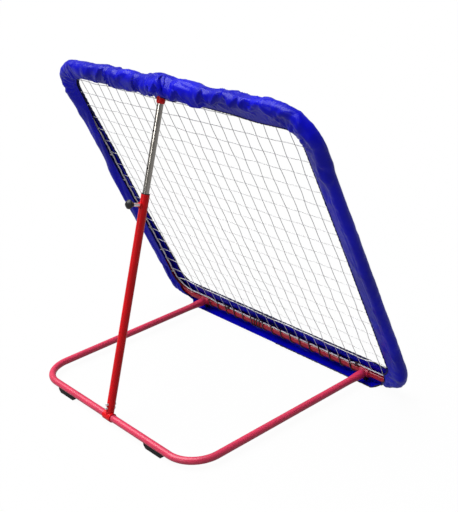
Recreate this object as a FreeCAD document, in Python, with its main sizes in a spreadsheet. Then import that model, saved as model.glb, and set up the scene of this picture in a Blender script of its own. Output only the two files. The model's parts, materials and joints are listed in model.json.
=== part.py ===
"""Pitch back rebounder: a tilting net frame on a floor base, propped by a telescopic strut.

Millimetres. +X runs along the bottom bar, +Y to the rear, +Z up. The origin lies on the floor,
in the middle of the whole part. Three slanted groups share it: the frame, whose own +Z runs
up the net, the base, whose own +Y runs down to the rear tube, and the strut, whose own +Z
runs up the tubes from the rear tube's axis.
"""
import FreeCAD, Part
import math
import os
import Sketcher
from FreeCAD import Placement, Rotation, Vector

SIZES = [
    ("frame_width", 1112),        # between the side tubes' axes
    ("frame_height", 1016),       # between the bottom bar's and the top bar's axes
    ("frame_lean", 23.44),        # degrees that the net leans back
    ("frame_bend", 100),          # bend radius at the axis of the frame tube
    ("hinge_height", 30),         # bottom bar's axis above the floor
    ("tube_od", 22),
    ("tube_wall", 1.5),
    ("plug_gap", 0.1),            # round a swaged end in the next tube
    ("frame_joint", 500),         # where the two halves of the frame meet, up the sides
    ("frame_plug", 60),
    ("shoulder", 6),              # length over which a tube is swaged down
    ("screw_rise", 30),           # from the joint up to its screw
    ("screw_d", 4),
    ("screw_reach", 4),           # into the tube from its outside
    ("screw_head_d", 8),
    ("screw_head", 2.5),
    ("arm_inset", 169.5),         # from a side tube's axis in to the base arm's
    ("base_depth", 709.3),        # from the bottom bar's axis to the rear tube's
    ("rear_height", 22),          # rear tube's axis above the floor
    ("base_bend", 95),
    ("base_plug", 40),
    ("weld_depth", 5),            # where an arm ends, behind the bar's axis, before its cope
    ("sleeve_od", 30),
    ("sleeve_length", 34),
    ("turn_gap", 0.1),            # round a tube that turns in its sleeve
    ("foot_inset", 162.5),        # from a base arm's axis in to the rear foot's middle
    ("foot_length", 90),
    ("foot_width", 20),
    ("foot_chamfer", 9),
    ("front_foot_width", 18),
    ("front_foot_depth", 12),
    ("front_foot_back", 11),      # behind the bottom bar's axis
    ("front_foot_gap", 0.6),      # under the arm
    ("strut_od", 25.4),
    ("strut_wall", 1.5),
    ("strut_length", 676),        # rear tube's axis to the top of the outer tube
    ("stub_length", 46),          # rear tube's axis to the end of the foot's stub
    ("stub_gap", 0.1),
    ("swage_start", 16),
    ("swage_cone", 4),
    ("fitting_od", 28),
    ("fitting_length", 36),
    ("foot_bolt_low", 26),
    ("foot_bolt_high", 38),
    ("foot_bolt_d", 6),
    ("bolt_head_d", 9),
    ("bolt_head", 2.5),
    ("nut_length", 4),            # under its dome
    ("bolt_seat", 0.2),           # between a flat head and the crown of the round tube
    ("bolt_gap", 0.1),
    ("inner_od", 19),
    ("inner_wall", 1.5),
    ("inner_start", 290),
    ("inner_end_gap", 2.7),       # between the inner tube's top and the strap's outside
    ("slide_gap", 0.1),
    ("bush_length", 25),
    ("bush_flange", 2),
    ("plug_length", 12),
    ("plug_spigot", 15),
    ("pin_rise", 644),            # lock pin above the rear tube's axis, along the strut
    ("hole_pitch", 106.5),
    ("hole_d", 7),
    ("strap_wall", 2),
    ("strap_width", 40),
    ("strap_across", 18.5),         # inner half size of the strap across the strut
    ("strap_along", 14),        # inner half size of the strap along the strut
    ("strap_drop", 1.77),         # strap's centre below the bar, along the strut
    ("strap_back", 4.33),         # strap's centre behind the bar, across the strut
    ("top_stub_length", 35.2),    # from the strap's outside down to the stub's end
    ("top_stub_taper", 2.2),      # the stub narrows by this at its end
    ("top_bolt_rise", 27),        # from the stub's end up to its bolt
    ("top_bolt_d", 5),
    ("boss_od", 16),
    ("boss_reach", 17),           # from the strut's axis
    ("plunger_od", 11),
    ("plunger_reach", 40),
    ("plunger_seat", 0.2),
    ("plunger_guide", 19),        # where the pin's guide ends and the spring's chamber starts
    ("plunger_cap", 3),
    ("chamber_d", 8.6),
    ("pin_d", 6),
    ("pin_tip", 9.9),             # the pin's nose, drawn just clear of the inner tube
    ("pin_gap", 0.1),
    ("collar_d", 8.2),
    ("collar_start", 20),
    ("collar_length", 2),
    ("stem_d", 4),
    ("stem_end", 54),
    ("knob_d", 27),
    ("knob_length", 22),
    ("knob_gap", 0.3),
    ("knob_neck_d", 16),
    ("knob_neck", 3),
    ("knob_round", 7),
    ("spring_wire", 0.9),
    ("spring_turns", 5),
    ("spring_gap", 0.3),
    ("rope_d", 5),
    ("rope_inset", 34),           # from the side and top tubes' axes
    ("rope_rise", 21),            # from the bottom bar's axis
    ("tie_gap", 0.3),
    ("tie_band", 1.2),
    ("tie_width", 6),
    ("tie_pitch", 110),
    ("net_thick", 2.4),
    ("net_gap", 0.4),
    ("net_columns", 17),
    ("net_rows", 17),
    ("net_strand", 3),
    ("lacing_d", 4),
    ("lacing_end_gap", 9.5),      # from a hinge sleeve to the lacing's end
    ("lacing_pitch", 45),
    ("tight_pitch", 13),
    ("tight_turns", 4),
    ("tight_start", 131),
    ("loop_back", 15),            # half depth of a lacing loop, fore and aft
    ("loop_low", 14.25),          # from the bar's axis down to a loop's lowest line
    ("loop_over", 3.25),          # from the rope's crown up to a loop's highest line
    ("cover_wall", 2),
    ("cover_roll", 20),           # outer radius of the cover round the tube
    ("cover_tip", 4),             # outer radius at the cover's inner edge
    ("cover_reach", 48),          # from the tube's axis to the centre of that edge
    ("cover_slit", 3),
    ("bulge_radius", 31),         # cover round the strap
    ("bulge_half", 75),
    ("notch_radius", 25),
    ("pad_inner", 14.5),
    ("pad_outer", 17.7),
    ("pad_open", 6),
    ("flap_top", 68),             # up the frame from the bar's axis
    ("flap_front", 2.5),          # in front of the net's middle plane
    ("flap_roll", 20.1),          # wall's middle round the bar
    ("flap_toe", 9),              # where the wall meets the floor, in front of the bar's axis
    ("flap_heel", 20),            # where it ends on the floor, behind the bar's axis
    ("flap_lift", 0.5),           # above the floor
    ("flap_gap", 0.5),            # between the bottom cover and the cover of the corners
    ("notch_side", 6),            # beside a front foot
]

doc = FreeCAD.newDocument("rebounder")
sheet = doc.addObject("Spreadsheet::Sheet", "sizes")
for row, (alias, number) in enumerate(SIZES, 1):
    sheet.set("A%d" % row, alias)
    sheet.set("B%d" % row, str(number))
    sheet.setAlias("B%d" % row, alias)
doc.recompute()

nodes = []


def text(words):
    """Writes every size's name in an expression as a reference to its cell."""
    names = {alias for alias, number in SIZES}
    out, word = [], ""
    for letter in words + " ":
        if letter.isalnum() or letter == "_":
            word += letter
            continue
        out.append("sizes." + word if word in names else word)
        out.append(letter)
        word = ""
    return "".join(out).strip()


def value(words):
    """The number that an expression gives now."""
    found = sheet.evalExpression(text(words))
    return float(getattr(found, "Value", found))


def bind(thing, prop, words):
    thing.setExpression(prop, text(words))


# Places that several pieces share, as expressions.
MIDDLE = "(base_depth + fitting_od / 2 - flap_roll - cover_wall / 2) / 2"
SLOPE = "atan2(hinge_height - rear_height; base_depth)"
ARM_LENGTH = "sqrt(base_depth^2 + (hinge_height - rear_height)^2)"
BAR_Y = "(frame_height * sin(frame_lean))"
BAR_Z = "(hinge_height + frame_height * cos(frame_lean))"
LINE = "sqrt((base_depth - %s)^2 + (%s - rear_height)^2)" % (BAR_Y, BAR_Z)
LINE_LEAN = "atan2(base_depth - %s; %s - rear_height)" % (BAR_Y, BAR_Z)
STRUT_LEAN = "(%s - atan2(strap_back; %s - strap_drop))" % (LINE_LEAN, LINE)
STRAP = "sqrt(strap_back^2 + (%s - strap_drop)^2)" % LINE
STRAP_FOOT = "(%s - strap_along - strap_wall)" % STRAP
STUB_END = "(%s - top_stub_length)" % STRAP_FOOT
BORE = "(tube_od - 2 * tube_wall)"
STRUT_BORE = "(strut_od - 2 * strut_wall)"
INNER_BORE = "(inner_od - 2 * inner_wall)"
SWAGE_OD = "(%s - 2 * stub_gap)" % STRUT_BORE
HALF = "(frame_width / 2)"
ARM_X = "(frame_width / 2 - arm_inset)"
FOOT_X = "(%s - foot_inset)" % ARM_X

GROUPS = {
    "frame": ("-%s" % MIDDLE, "hinge_height", "-frame_lean"),
    "base": ("-%s" % MIDDLE, "hinge_height", "-%s" % SLOPE),
    "bar": ("-%s" % MIDDLE, "hinge_height", "0"),
    "rear": ("base_depth - %s" % MIDDLE, "rear_height", "0"),
    "strut": ("base_depth - %s" % MIDDLE, "rear_height", STRUT_LEAN),
}


def place(thing, group, label):
    """Labels a finished piece and puts it in its group's slanted frame."""
    across, rise, turn = GROUPS[group]
    thing.Placement = Placement(Vector(0, 0, 0), Rotation(Vector(1, 0, 0), 0))
    bind(thing, "Placement.Base.y", across)
    bind(thing, "Placement.Base.z", rise)
    bind(thing, "Placement.Rotation.Angle", turn)
    thing.Label = label
    nodes.append(thing)
    return thing


def place_shape(shape, group, label):
    """A piece whose shape is worked out here, in its group's frame."""
    thing = doc.addObject("Part::Feature", label)
    thing.Shape = shape
    return place(thing, group, label)


# Sketches

def plane(body, role):
    return [part for part in body.Origin.OriginFeatures if part.Role == role][0]


def sketch(body, role, name, offset=None):
    drawing = body.newObject("Sketcher::SketchObject", name)
    drawing.AttachmentSupport = [(plane(body, role), "")]
    drawing.MapMode = "FlatFace"
    if offset:
        bind(drawing, "AttachmentOffset.Base.z", offset)
    return drawing


def pin_point(drawing, part, end, across=None, up=None):
    """Fixes one end of a sketch's edge at the given expressions."""
    for kind, words, axis in (("DistanceX", across, -2), ("DistanceY", up, -1)):
        if words is None:
            continue
        if abs(value(words)) < 1e-9:
            drawing.addConstraint(Sketcher.Constraint("PointOnObject", part, end, axis))
            continue
        rule = Sketcher.Constraint(kind, -1, 1, part, end, value(words))
        bind(drawing, "Constraints[%d]" % drawing.addConstraint(rule), words)


def outline(drawing, corners):
    """A closed outline of straight edges through the given corners."""
    spots = [Vector(value(across), value(up), 0) for across, up in corners]
    for here, there in zip(spots, spots[1:] + spots[:1]):
        drawing.addGeometry(Part.LineSegment(here, there), False)
    for edge, (across, up) in enumerate(corners):
        before = (edge - 1) % len(corners)
        drawing.addConstraint(Sketcher.Constraint("Coincident", before, 2, edge, 1))
        pin_point(drawing, edge, 1, across, up)


def circle(drawing, across, up, diameter):
    spot = Vector(value(across), value(up), 0)
    part = drawing.addGeometry(Part.Circle(spot, Vector(0, 0, 1), value(diameter) / 2), False)
    pin_point(drawing, part, 3, across, up)
    rule = Sketcher.Constraint("Diameter", part, value(diameter))
    bind(drawing, "Constraints[%d]" % drawing.addConstraint(rule), diameter)


def turn_at(before, here, after, radius):
    """The arc at one corner of a route, where it starts and stops, and whether it turns left."""
    inward, onward = (here - before).normalize(), (after - here).normalize()
    start, stop = here - inward * radius, here + onward * radius
    centre = start + onward * radius
    left = inward.x * onward.y - inward.y * onward.x > 0
    first, second = (start, stop) if left else (stop, start)
    angles = [math.atan2(spot.y - centre.y, spot.x - centre.x) for spot in (first, second)]
    if angles[1] < angles[0]:
        angles[1] += 2 * math.pi
    arc = Part.ArcOfCircle(Part.Circle(centre, Vector(0, 0, 1), radius), *angles)
    return start, stop, arc, left


def route(drawing, corners, bend):
    """Square runs through the corners, with an arc of radius bend at each inner corner."""
    spots = [Vector(value(across), value(up), 0) for across, up in corners]
    turns = [turn_at(*three, value(bend)) for three in zip(spots, spots[1:], spots[2:])]
    last = spots[0]
    for start, stop, arc, left in turns:
        drawing.addGeometry(Part.LineSegment(last, start), False)
        drawing.addGeometry(arc, False)
        last = stop
    drawing.addGeometry(Part.LineSegment(last, spots[-1]), False)
    for number, turn in enumerate(turns):
        near, far = (1, 2) if turn[3] else (2, 1)
        bow = 2 * number + 1
        drawing.addConstraint(Sketcher.Constraint("Tangent", bow - 1, 2, bow, near))
        drawing.addConstraint(Sketcher.Constraint("Tangent", bow, far, bow + 1, 1))
        rule = Sketcher.Constraint("Radius", bow, value(bend))
        bind(drawing, "Constraints[%d]" % drawing.addConstraint(rule), bend)
    for number, (here, there) in enumerate(zip(spots, spots[1:])):
        across, up = corners[number]
        level = abs(here.y - there.y) < 1e-9
        rule = Sketcher.Constraint("Horizontal" if level else "Vertical", 2 * number)
        drawing.addConstraint(rule)
        pin_point(drawing, 2 * number, 1, None if level else across, up if level else None)
        if number == 0:
            pin_point(drawing, 0, 1, across if level else None, None if level else up)
    across, up = corners[-1]
    pin_point(drawing, 2 * len(turns), 2, across if level else None, None if level else up)


def rings(body, role, name, spots, outer, inner, offset=None):
    drawing = sketch(body, role, name, offset)
    for across, up in spots:
        circle(drawing, across, up, outer)
        if inner:
            circle(drawing, across, up, inner)
    return drawing


def swept(body, drawing, path):
    pipe = body.newObject("PartDesign::AdditivePipe", "pipe")
    pipe.Profile = drawing
    pipe.Spine = path
    return pipe


def padded(body, drawing, length, both_ways=False):
    pad = body.newObject("PartDesign::Pad", "pad")
    pad.Profile = drawing
    pad.Midplane = both_ways
    bind(pad, "Length", length)
    return pad


def pocketed(body, drawing, length):
    pocket = body.newObject("PartDesign::Pocket", "pocket")
    pocket.Profile = drawing
    bind(pocket, "Length", length)
    return pocket


def turned(role, corners, offset=None):
    """A piece turned on a lathe: corners are radius and place along the axis."""
    body = doc.addObject("PartDesign::Body", "turned")
    drawing = sketch(body, role, "profile", offset)
    outline(drawing, corners)
    spun = body.newObject("PartDesign::Revolution", "spun")
    spun.Profile = drawing
    spun.ReferenceAxis = (drawing, ["V_Axis"])
    spun.Angle = 360
    return body


# Solids from primitives

LIE = {"x": Rotation(Vector(0, 1, 0), 90), "y": Rotation(Vector(1, 0, 0), -90), "z": Rotation()}


def rod(axis, diameter, low, high, *at):
    """A round bar along an axis, from low to high; at is its place on the two other axes."""
    bar = doc.addObject("Part::Cylinder", "rod")
    bar.Placement = Placement(Vector(0, 0, 0), LIE[axis])
    bind(bar, "Radius", "(%s) / 2" % diameter)
    bind(bar, "Height", "(%s) - (%s)" % (high, low))
    spots = list(at or ("0", "0"))
    spots.insert("xyz".index(axis), low)
    for letter, words in zip("xyz", spots):
        bind(bar, "Placement.Base." + letter, words)
    return bar


def block(*spans):
    bar = doc.addObject("Part::Box", "block")
    for letter, side, (low, high) in zip("xyz", ("Length", "Width", "Height"), spans):
        bind(bar, side, "(%s) - (%s)" % (high, low))
        bind(bar, "Placement.Base." + letter, low)
    return bar


def ball(radius, x, y, z):
    bar = doc.addObject("Part::Sphere", "ball")
    bind(bar, "Radius", radius)
    for letter, words in zip("xyz", (x, y, z)):
        bind(bar, "Placement.Base." + letter, words)
    return bar


def fused(*pieces):
    whole = doc.addObject("Part::MultiFuse", "fused")
    whole.Shapes = list(pieces)
    return whole


def carved(piece, *tools):
    left = doc.addObject("Part::Cut", "carved")
    left.Base = piece
    left.Tool = tools[0] if len(tools) == 1 else fused(*tools)
    return left


# Base

def base_tube(side, sign):
    body = doc.addObject("PartDesign::Body", "base_tube_" + side)
    arm = sign + ARM_X
    path = sketch(body, "XY_Plane", "path")
    route(path, [("0", ARM_LENGTH), (arm, ARM_LENGTH), (arm, "weld_depth")], "base_bend")
    middle = [(ARM_LENGTH, "0")]
    swept(body, rings(body, "YZ_Plane", "section", middle, "tube_od", BORE), path)
    if side == "left":
        plug_od = "(%s - 2 * plug_gap)" % BORE
        plug_bore = "(%s - 2 * tube_wall)" % plug_od
        step = rings(body, "YZ_Plane", "step", middle, "tube_od", plug_bore)
        padded(body, step, "shoulder")
        plug = rings(body, "YZ_Plane", "plug", middle, plug_od, plug_bore, "-base_plug")
        padded(body, plug, "base_plug + shoulder")
    beside = "%s + sleeve_length / 2" % arm
    cope = rings(body, "YZ_Plane", "cope", [("0", "0")], "sleeve_od", None, beside)
    pocketed(body, cope, "sleeve_length")
    place(body, "base", "base_tube_" + side)


def hinge_sleeve(side, sign):
    low = "%s%s - sleeve_length / 2" % (sign, ARM_X)
    high = "%s%s + sleeve_length / 2" % (sign, ARM_X)
    bore = "(tube_od + 2 * turn_gap)"
    sleeve = carved(rod("x", "sleeve_od", low, high), rod("x", bore, low, high))
    place(sleeve, "base", "hinge_sleeve_" + side)


def rubber_foot(side, sign):
    """A saddle under the rear tube, chamfered at both ends."""
    body = doc.addObject("PartDesign::Body", "rubber_foot")
    low = "%s%s - foot_length / 2" % (sign, FOOT_X)
    high = "%s%s + foot_length / 2" % (sign, FOOT_X)
    floor, rise = "-rear_height", "-rear_height + foot_chamfer"
    corners = [(low + " + foot_chamfer", floor), (high + " - foot_chamfer", floor),
               (high, rise), (high, "0"), (low, "0"), (low, rise)]
    drawing = sketch(body, "XZ_Plane", "side")
    outline(drawing, corners)
    padded(body, drawing, "foot_width", both_ways=True)
    saddle = carved(body, rod("x", "tube_od", low, high))
    place(saddle, "rear", "rubber_foot_" + side)


def front_foot(side, sign):
    """A small foot under a hinge sleeve, inside the cover."""
    low = "%s%s - front_foot_width / 2" % (sign, ARM_X)
    high = "%s%s + front_foot_width / 2" % (sign, ARM_X)
    top = "-tube_od / 2 - front_foot_gap"
    foot = block((low, high), ("front_foot_back - front_foot_depth", "front_foot_back"),
                 ("-hinge_height", top))
    place(carved(foot, rod("x", "sleeve_od", low, high)), "bar", "front_foot_" + side)


# Frame

def frame_tube_lower():
    """The bottom bar, both lower corners and the sides up to the joint, with its two plugs."""
    body = doc.addObject("PartDesign::Body", "frame_tube_lower")
    path = sketch(body, "XZ_Plane", "path")
    route(path, [(HALF, "frame_joint"), (HALF, "0"), ("-" + HALF, "0"),
                 ("-" + HALF, "frame_joint")], "frame_bend")
    start = [(HALF, "0")]
    both = [(HALF, "0"), ("-" + HALF, "0")]
    swept(body, rings(body, "XY_Plane", "section", start, "tube_od", BORE, "frame_joint"), path)
    plug_od = "(%s - 2 * plug_gap)" % BORE
    plug_bore = "(%s - 2 * tube_wall)" % plug_od
    below = "frame_joint - shoulder"
    step = rings(body, "XY_Plane", "step", both, "tube_od", plug_bore, below)
    padded(body, step, "shoulder")
    plug = rings(body, "XY_Plane", "plug", both, plug_od, plug_bore, below)
    padded(body, plug, "frame_plug + shoulder")
    screw_holes(body)
    place(body, "frame", "frame_tube_lower")


def frame_tube_upper():
    body = doc.addObject("PartDesign::Body", "frame_tube_upper")
    path = sketch(body, "XZ_Plane", "path")
    route(path, [(HALF, "frame_joint"), (HALF, "frame_height"), ("-" + HALF, "frame_height"),
                 ("-" + HALF, "frame_joint")], "frame_bend")
    start = [(HALF, "0")]
    swept(body, rings(body, "XY_Plane", "section", start, "tube_od", BORE, "frame_joint"), path)
    screw_holes(body)
    place(body, "frame", "frame_tube_upper")


def screw_holes(body):
    """Holes in the rear walls for the joint screws."""
    rise = "frame_joint + screw_rise"
    spots = [(HALF, rise), ("-" + HALF, rise)]
    pocketed(body, rings(body, "XZ_Plane", "holes", spots, "screw_d", None), "tube_od")


def frame_joint_screws():
    screws = []
    for sign in ("", "-"):
        at = (sign + HALF, "frame_joint + screw_rise")
        screws.append(rod("y", "screw_d", "tube_od / 2 - screw_reach",
                          "tube_od / 2 + bolt_seat", *at))
        screws.append(rod("y", "screw_head_d", "tube_od / 2 + bolt_seat",
                          "tube_od / 2 + bolt_seat + screw_head", *at))
    place(fused(*screws), "frame", "frame_joint_screws")


def net_border_rope():
    body = doc.addObject("PartDesign::Body", "net_border_rope")
    side, top = "(frame_width / 2 - rope_inset)", "(frame_height - rope_inset)"
    path = sketch(body, "XZ_Plane", "path")
    route(path, [("0", "rope_rise"), (side, "rope_rise"), (side, top), ("-" + side, top),
                 ("-" + side, "rope_rise"), ("0", "rope_rise")], "frame_bend - rope_inset")
    start = [("0", "rope_rise")]
    swept(body, rings(body, "YZ_Plane", "section", start, "rope_d", None), path)
    place(body, "frame", "net_border_rope")


# Shapes worked out from the sheet, in the frame's own plane

def spot(x, z, y=0):
    return Vector(x, y, z)


def rounded(half, low, high, radius, y):
    """A rounded rectangle in the frame's plane."""
    bow = radius * (1 - math.sqrt(0.5))
    edges = []
    corners = [(half, low, 1, -1), (half, high, 1, 1), (-half, high, -1, 1), (-half, low, -1, -1)]
    ends = []
    for x, z, right, up in corners:
        beside, above = spot(x - right * radius, z, y), spot(x, z - up * radius, y)
        start, stop = (beside, above) if right * up < 0 else (above, beside)
        ends.append((start, spot(x - right * bow, z - up * bow, y), stop))
    for here, there in zip(ends, ends[1:] + ends[:1]):
        edges.append(Part.Arc(*here).toShape())
        edges.append(Part.LineSegment(here[2], there[0]).toShape())
    return Part.Wire(edges)


def inside_panel(inset, thick):
    """Everything that lies at least inset inside the frame tube's axis, thick in all."""
    radius = value("frame_bend") - inset
    wire = rounded(value(HALF) - inset, inset, value("frame_height") - inset, radius, -thick / 2)
    return Part.Face(wire).extrude(Vector(0, thick, 0))


def belt(centre, side, inward, big, small, reach):
    """The outline of a belt round two circles, reach apart."""
    lean = math.asin((big - small) / reach)
    points = []
    for radius, far, away in ((big, 0, -1), (small, reach, 1)):
        edge = side * (radius * math.cos(lean))
        level = centre + inward * (far + radius * math.sin(lean))
        points.append((level + edge, centre + inward * (far + away * radius), level - edge))
    (right, back, left), (far_right, tip, far_left) = points
    return Part.Wire([Part.Arc(right, back, left).toShape(),
                      Part.LineSegment(left, far_left).toShape(),
                      Part.Arc(far_left, tip, far_right).toShape(),
                      Part.LineSegment(far_right, right).toShape()])


def corner_to_corner():
    """The frame tube's axis from one lower corner over the top to the other."""
    half, high, bend = value(HALF), value("frame_height"), value("frame_bend")
    bow = bend * (1 - math.sqrt(0.5))
    edges = [Part.Arc(spot(half - bend, 0), spot(half - bow, bow), spot(half, bend)),
             Part.LineSegment(spot(half, bend), spot(half, high - bend)),
             Part.Arc(spot(half, high - bend), spot(half - bow, high - bow),
                      spot(half - bend, high)),
             Part.LineSegment(spot(half - bend, high), spot(bend - half, high)),
             Part.Arc(spot(bend - half, high), spot(bow - half, high - bow),
                      spot(-half, high - bend)),
             Part.LineSegment(spot(-half, high - bend), spot(-half, bend)),
             Part.Arc(spot(-half, bend), spot(bow - half, bow), spot(bend - half, 0))]
    return Part.Wire([edge.toShape() for edge in edges])


def along_frame(section):
    return corner_to_corner().makePipeShell([section], True, False)


def start_spot():
    return spot(value(HALF) - value("frame_bend"), 0)


def round_section(radius):
    return Part.Wire(Part.Circle(start_spot(), Vector(1, 0, 0), radius).toShape())


def cover_section(radius, tip):
    reach = value("cover_reach")
    return belt(start_spot(), Vector(0, 1, 0), Vector(0, 0, 1), radius, tip, reach)


def top_rod(radius, half):
    return Part.makeCylinder(radius, 2 * half, spot(-half, value("frame_height")), Vector(1, 0, 0))


def cover_wrap():
    """The cover round the sides, the top and the corners, open towards the net and the strut."""
    wall, roll, tip = value("cover_wall"), value("cover_roll"), value("cover_tip")
    bulge, half = value("bulge_radius"), value("bulge_half")
    outside = along_frame(cover_section(roll, tip)).fuse(top_rod(bulge, half))
    inside = along_frame(cover_section(roll - wall, tip - wall))
    slope = math.radians(value(STRUT_LEAN) + value("frame_lean"))
    down_strut = Vector(0, math.sin(slope), -math.cos(slope))
    notch = Part.makeCylinder(value("notch_radius"), 3 * bulge, spot(0, value("frame_height")),
                              down_strut)
    slit = inside_panel(value("cover_reach"), value("cover_slit"))
    shell = outside.cut([inside, top_rod(bulge - wall, half - wall), notch, slit])
    place_shape(shell, "frame", "cover_wrap")


def cover_padding():
    ring = along_frame(round_section(value("pad_outer")))
    away = [along_frame(round_section(value("pad_inner"))),
            inside_panel(value("pad_open"), 4 * value("pad_outer")),
            top_rod(2 * value("pad_outer"), value("bulge_half") + value("flap_gap"))]
    place_shape(ring.cut(away), "frame", "cover_padding")


def net():
    """The net as one plate with a hole for each mesh."""
    inset = value("rope_inset + rope_d / 2 + tie_gap + tie_band + net_gap")
    half, high = value(HALF) - inset, value("frame_height") - inset
    low = value(LOOP_TOP + " + lacing_d / 2 + net_gap")
    thick, strand = value("net_thick"), value("net_strand")
    radius, y = value("frame_bend") - inset, -value("net_thick") / 2
    field = Part.Face(rounded(half - strand, low + strand, high - strand, radius - strand, y))
    columns, rows = int(value("net_columns")), int(value("net_rows"))
    wide, tall = (2 * half - strand) / columns, (high - low - strand) / rows
    wires = [rounded(half, low, high, radius, y)]
    for column in range(columns):
        for row in range(rows):
            left, foot = -half + strand + column * wide, low + strand + row * tall
            right, head = left + wide - strand, foot + tall - strand
            corners = [spot(left, foot, y), spot(right, foot, y), spot(right, head, y),
                       spot(left, head, y), spot(left, foot, y)]
            hole = Part.makePolygon(corners)
            if column in (0, columns - 1) and row in (0, rows - 1):
                hole = Part.Face(hole).common(field).Faces[0].OuterWire
            wires.append(hole)
    print("net gaps", len(wires) - 1)
    plate = Part.makeFace(wires, "Part::FaceMakerBullseye")
    place_shape(plate.extrude(Vector(0, thick, 0)), "frame", "net")


def net_ties():
    """Bands round the tube and the border rope, along the sides and the top."""
    half, high, bend = value(HALF), value("frame_height"), value("frame_bend")
    pitch, width, room = value("tie_pitch"), value("tie_width"), value("tie_gap")
    reach, band = value("rope_inset"), value("tie_band")
    stations = []
    for number in range(int((high - 2 * bend) / pitch) + 1):
        for sign in (-1, 1):
            stations.append((spot(sign * half, bend + number * pitch), Vector(-sign, 0, 0)))
    for number in range(int((half - bend) / pitch + 0.5)):
        for sign in (-1, 1):
            stations.append((spot(sign * (number + 0.5) * pitch, high), Vector(0, 0, -1)))
    bands = []
    for centre, inward in stations:
        side = Vector(0, 1, 0)
        length = side.cross(inward) * width
        inner, small = value("tube_od") / 2 + room, value("rope_d") / 2 + room
        solids = []
        for more in (band, 0):
            wire = belt(centre - length / 2, side, inward, inner + more, small + more, reach)
            solids.append(Part.Face(wire).extrude(length))
        bands.append(solids[0].cut(solids[1]))
    place_shape(Part.makeCompound(bands), "frame", "net_ties")


def cover_bottom():
    """The flap in front of the bottom bar, round it and back on the floor under it."""
    lean, roll = math.radians(value("frame_lean")), value("flap_roll")
    up = Vector(0, math.sin(lean), math.cos(lean))
    rear = Vector(0, math.cos(lean), -math.sin(lean))
    floor = value("flap_lift + cover_wall / 2 - hinge_height")
    top = up * value("flap_top") - rear * value("flap_front")
    toe, heel = Vector(0, -value("flap_toe"), floor), Vector(0, value("flap_heel"), floor)
    touches = []
    for end, way in ((top, 1), (toe, -1)):
        angle = math.atan2(end.z, end.y) + way * math.acos(roll / end.Length)
        touches.append(angle % (2 * math.pi))
    middle = sum(touches) / 2
    on_roll = [Vector(0, math.cos(angle), math.sin(angle)) * roll
               for angle in (touches[0], middle, touches[1])]
    edges = [Part.LineSegment(top, on_roll[0]), Part.Arc(*on_roll),
             Part.LineSegment(on_roll[2], toe), Part.LineSegment(toe, heel)]
    line = Part.Wire([edge.toShape() for edge in edges])
    band = line.makeOffset2D(value("cover_wall") / 2, 0, False, False)
    half = value(HALF) - value("frame_bend") - value("flap_gap")
    band.translate(Vector(-half, 0, 0))
    flap = Part.Face(band).extrude(Vector(2 * half, 0, 0))
    gap = value("front_foot_width / 2 + notch_side")
    for sign in (-1, 1):
        corner = Vector(sign * value(ARM_X) - gap, toe.y, floor - value("cover_wall"))
        flap = flap.cut(Part.makeBox(2 * gap, heel.y - toe.y + roll, roll / 2, corner))
    place_shape(flap, "bar", "cover_bottom")


# Wound pieces

LOOP_TOP = "(rope_rise + rope_d / 2 + loop_over)"


def biarc(here, heading, there, onward):
    """Two tangent arcs from one spot and direction to the next."""
    across, both = there - here, heading + onward
    a = both.dot(both) - 4
    b = -2 * across.dot(both)
    c = across.dot(across)
    reach = (-b - math.sqrt(b * b - 4 * a * c)) / (2 * a)
    if reach < 0:
        reach = (-b + math.sqrt(b * b - 4 * a * c)) / (2 * a)
    first, last = here + heading * reach, there - onward * reach
    joint = (first + last) * 0.5
    arcs = []
    for start, tip, stop in ((here, first, joint), (joint, last, there)):
        middle = (start + stop) * 0.5
        rise, half = (tip - middle).Length, (stop - start).Length / 2
        bow = half * math.tan(math.atan2(rise, half) / 2)
        arcs.append(Part.Arc(start, middle + (tip - middle) * (bow / rise), stop).toShape())
    return arcs


def winding(centre, along, side, up, stops, wide, high, wire):
    """One tube wound round an oval; stops are the places along its axis after each turn."""
    paces = [there - here for here, there in zip(stops, stops[1:])]
    spots, headings = [], []
    for turn in range(len(paces) + 1):
        for quarter in range(4 if turn < len(paces) else 1):
            angle = quarter * math.pi / 2
            near = paces[min(turn, len(paces) - 1)]
            pace = (near + paces[max(turn - 1, 0)]) / 2 if quarter == 0 else near
            place_along = stops[turn] + near * quarter / 4
            spots.append(centre + along * place_along + side * (wide * math.sin(angle))
                         - up * (high * math.cos(angle)))
            heading = (along * pace + side * (2 * math.pi * wide * math.cos(angle))
                       + up * (2 * math.pi * high * math.sin(angle)))
            headings.append(heading.normalize())
    edges = [Part.LineSegment(spots[0] - headings[0] * wire, spots[0]).toShape()]
    for number in range(len(spots) - 1):
        edges += biarc(spots[number], headings[number], spots[number + 1], headings[number + 1])
    edges.append(Part.LineSegment(spots[-1], spots[-1] + headings[-1] * wire).toShape())
    path = Part.Wire(edges)
    ring = Part.Circle(spots[0] - headings[0] * wire, headings[0], wire / 2)
    tube = path.makePipeShell([Part.Wire(ring.toShape())], True, False)
    section = math.pi * wire ** 2 / 4
    print("wound tube: volume", round(tube.Volume), "section by length", round(section * path.Length),
          "least gap to itself", round(self_gap(path, wire, len(paces)), 2))
    return tube


def self_gap(path, wire, turns):
    """The least gap between stretches of a wound tube over half a turn apart."""
    per_turn = 24
    points = path.discretize(Number=per_turn * turns + 1)
    gaps = []
    for number, here in enumerate(points):
        for there in points[number + per_turn // 2:]:
            gaps.append((here - there).Length)
    return min(gaps) - wire


def even(start, stop, pitch):
    """Places from start to stop, about pitch apart, without the last one."""
    count = max(1, round(abs(stop - start) / pitch))
    return [start + (stop - start) * number / count for number in range(count)]


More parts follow.
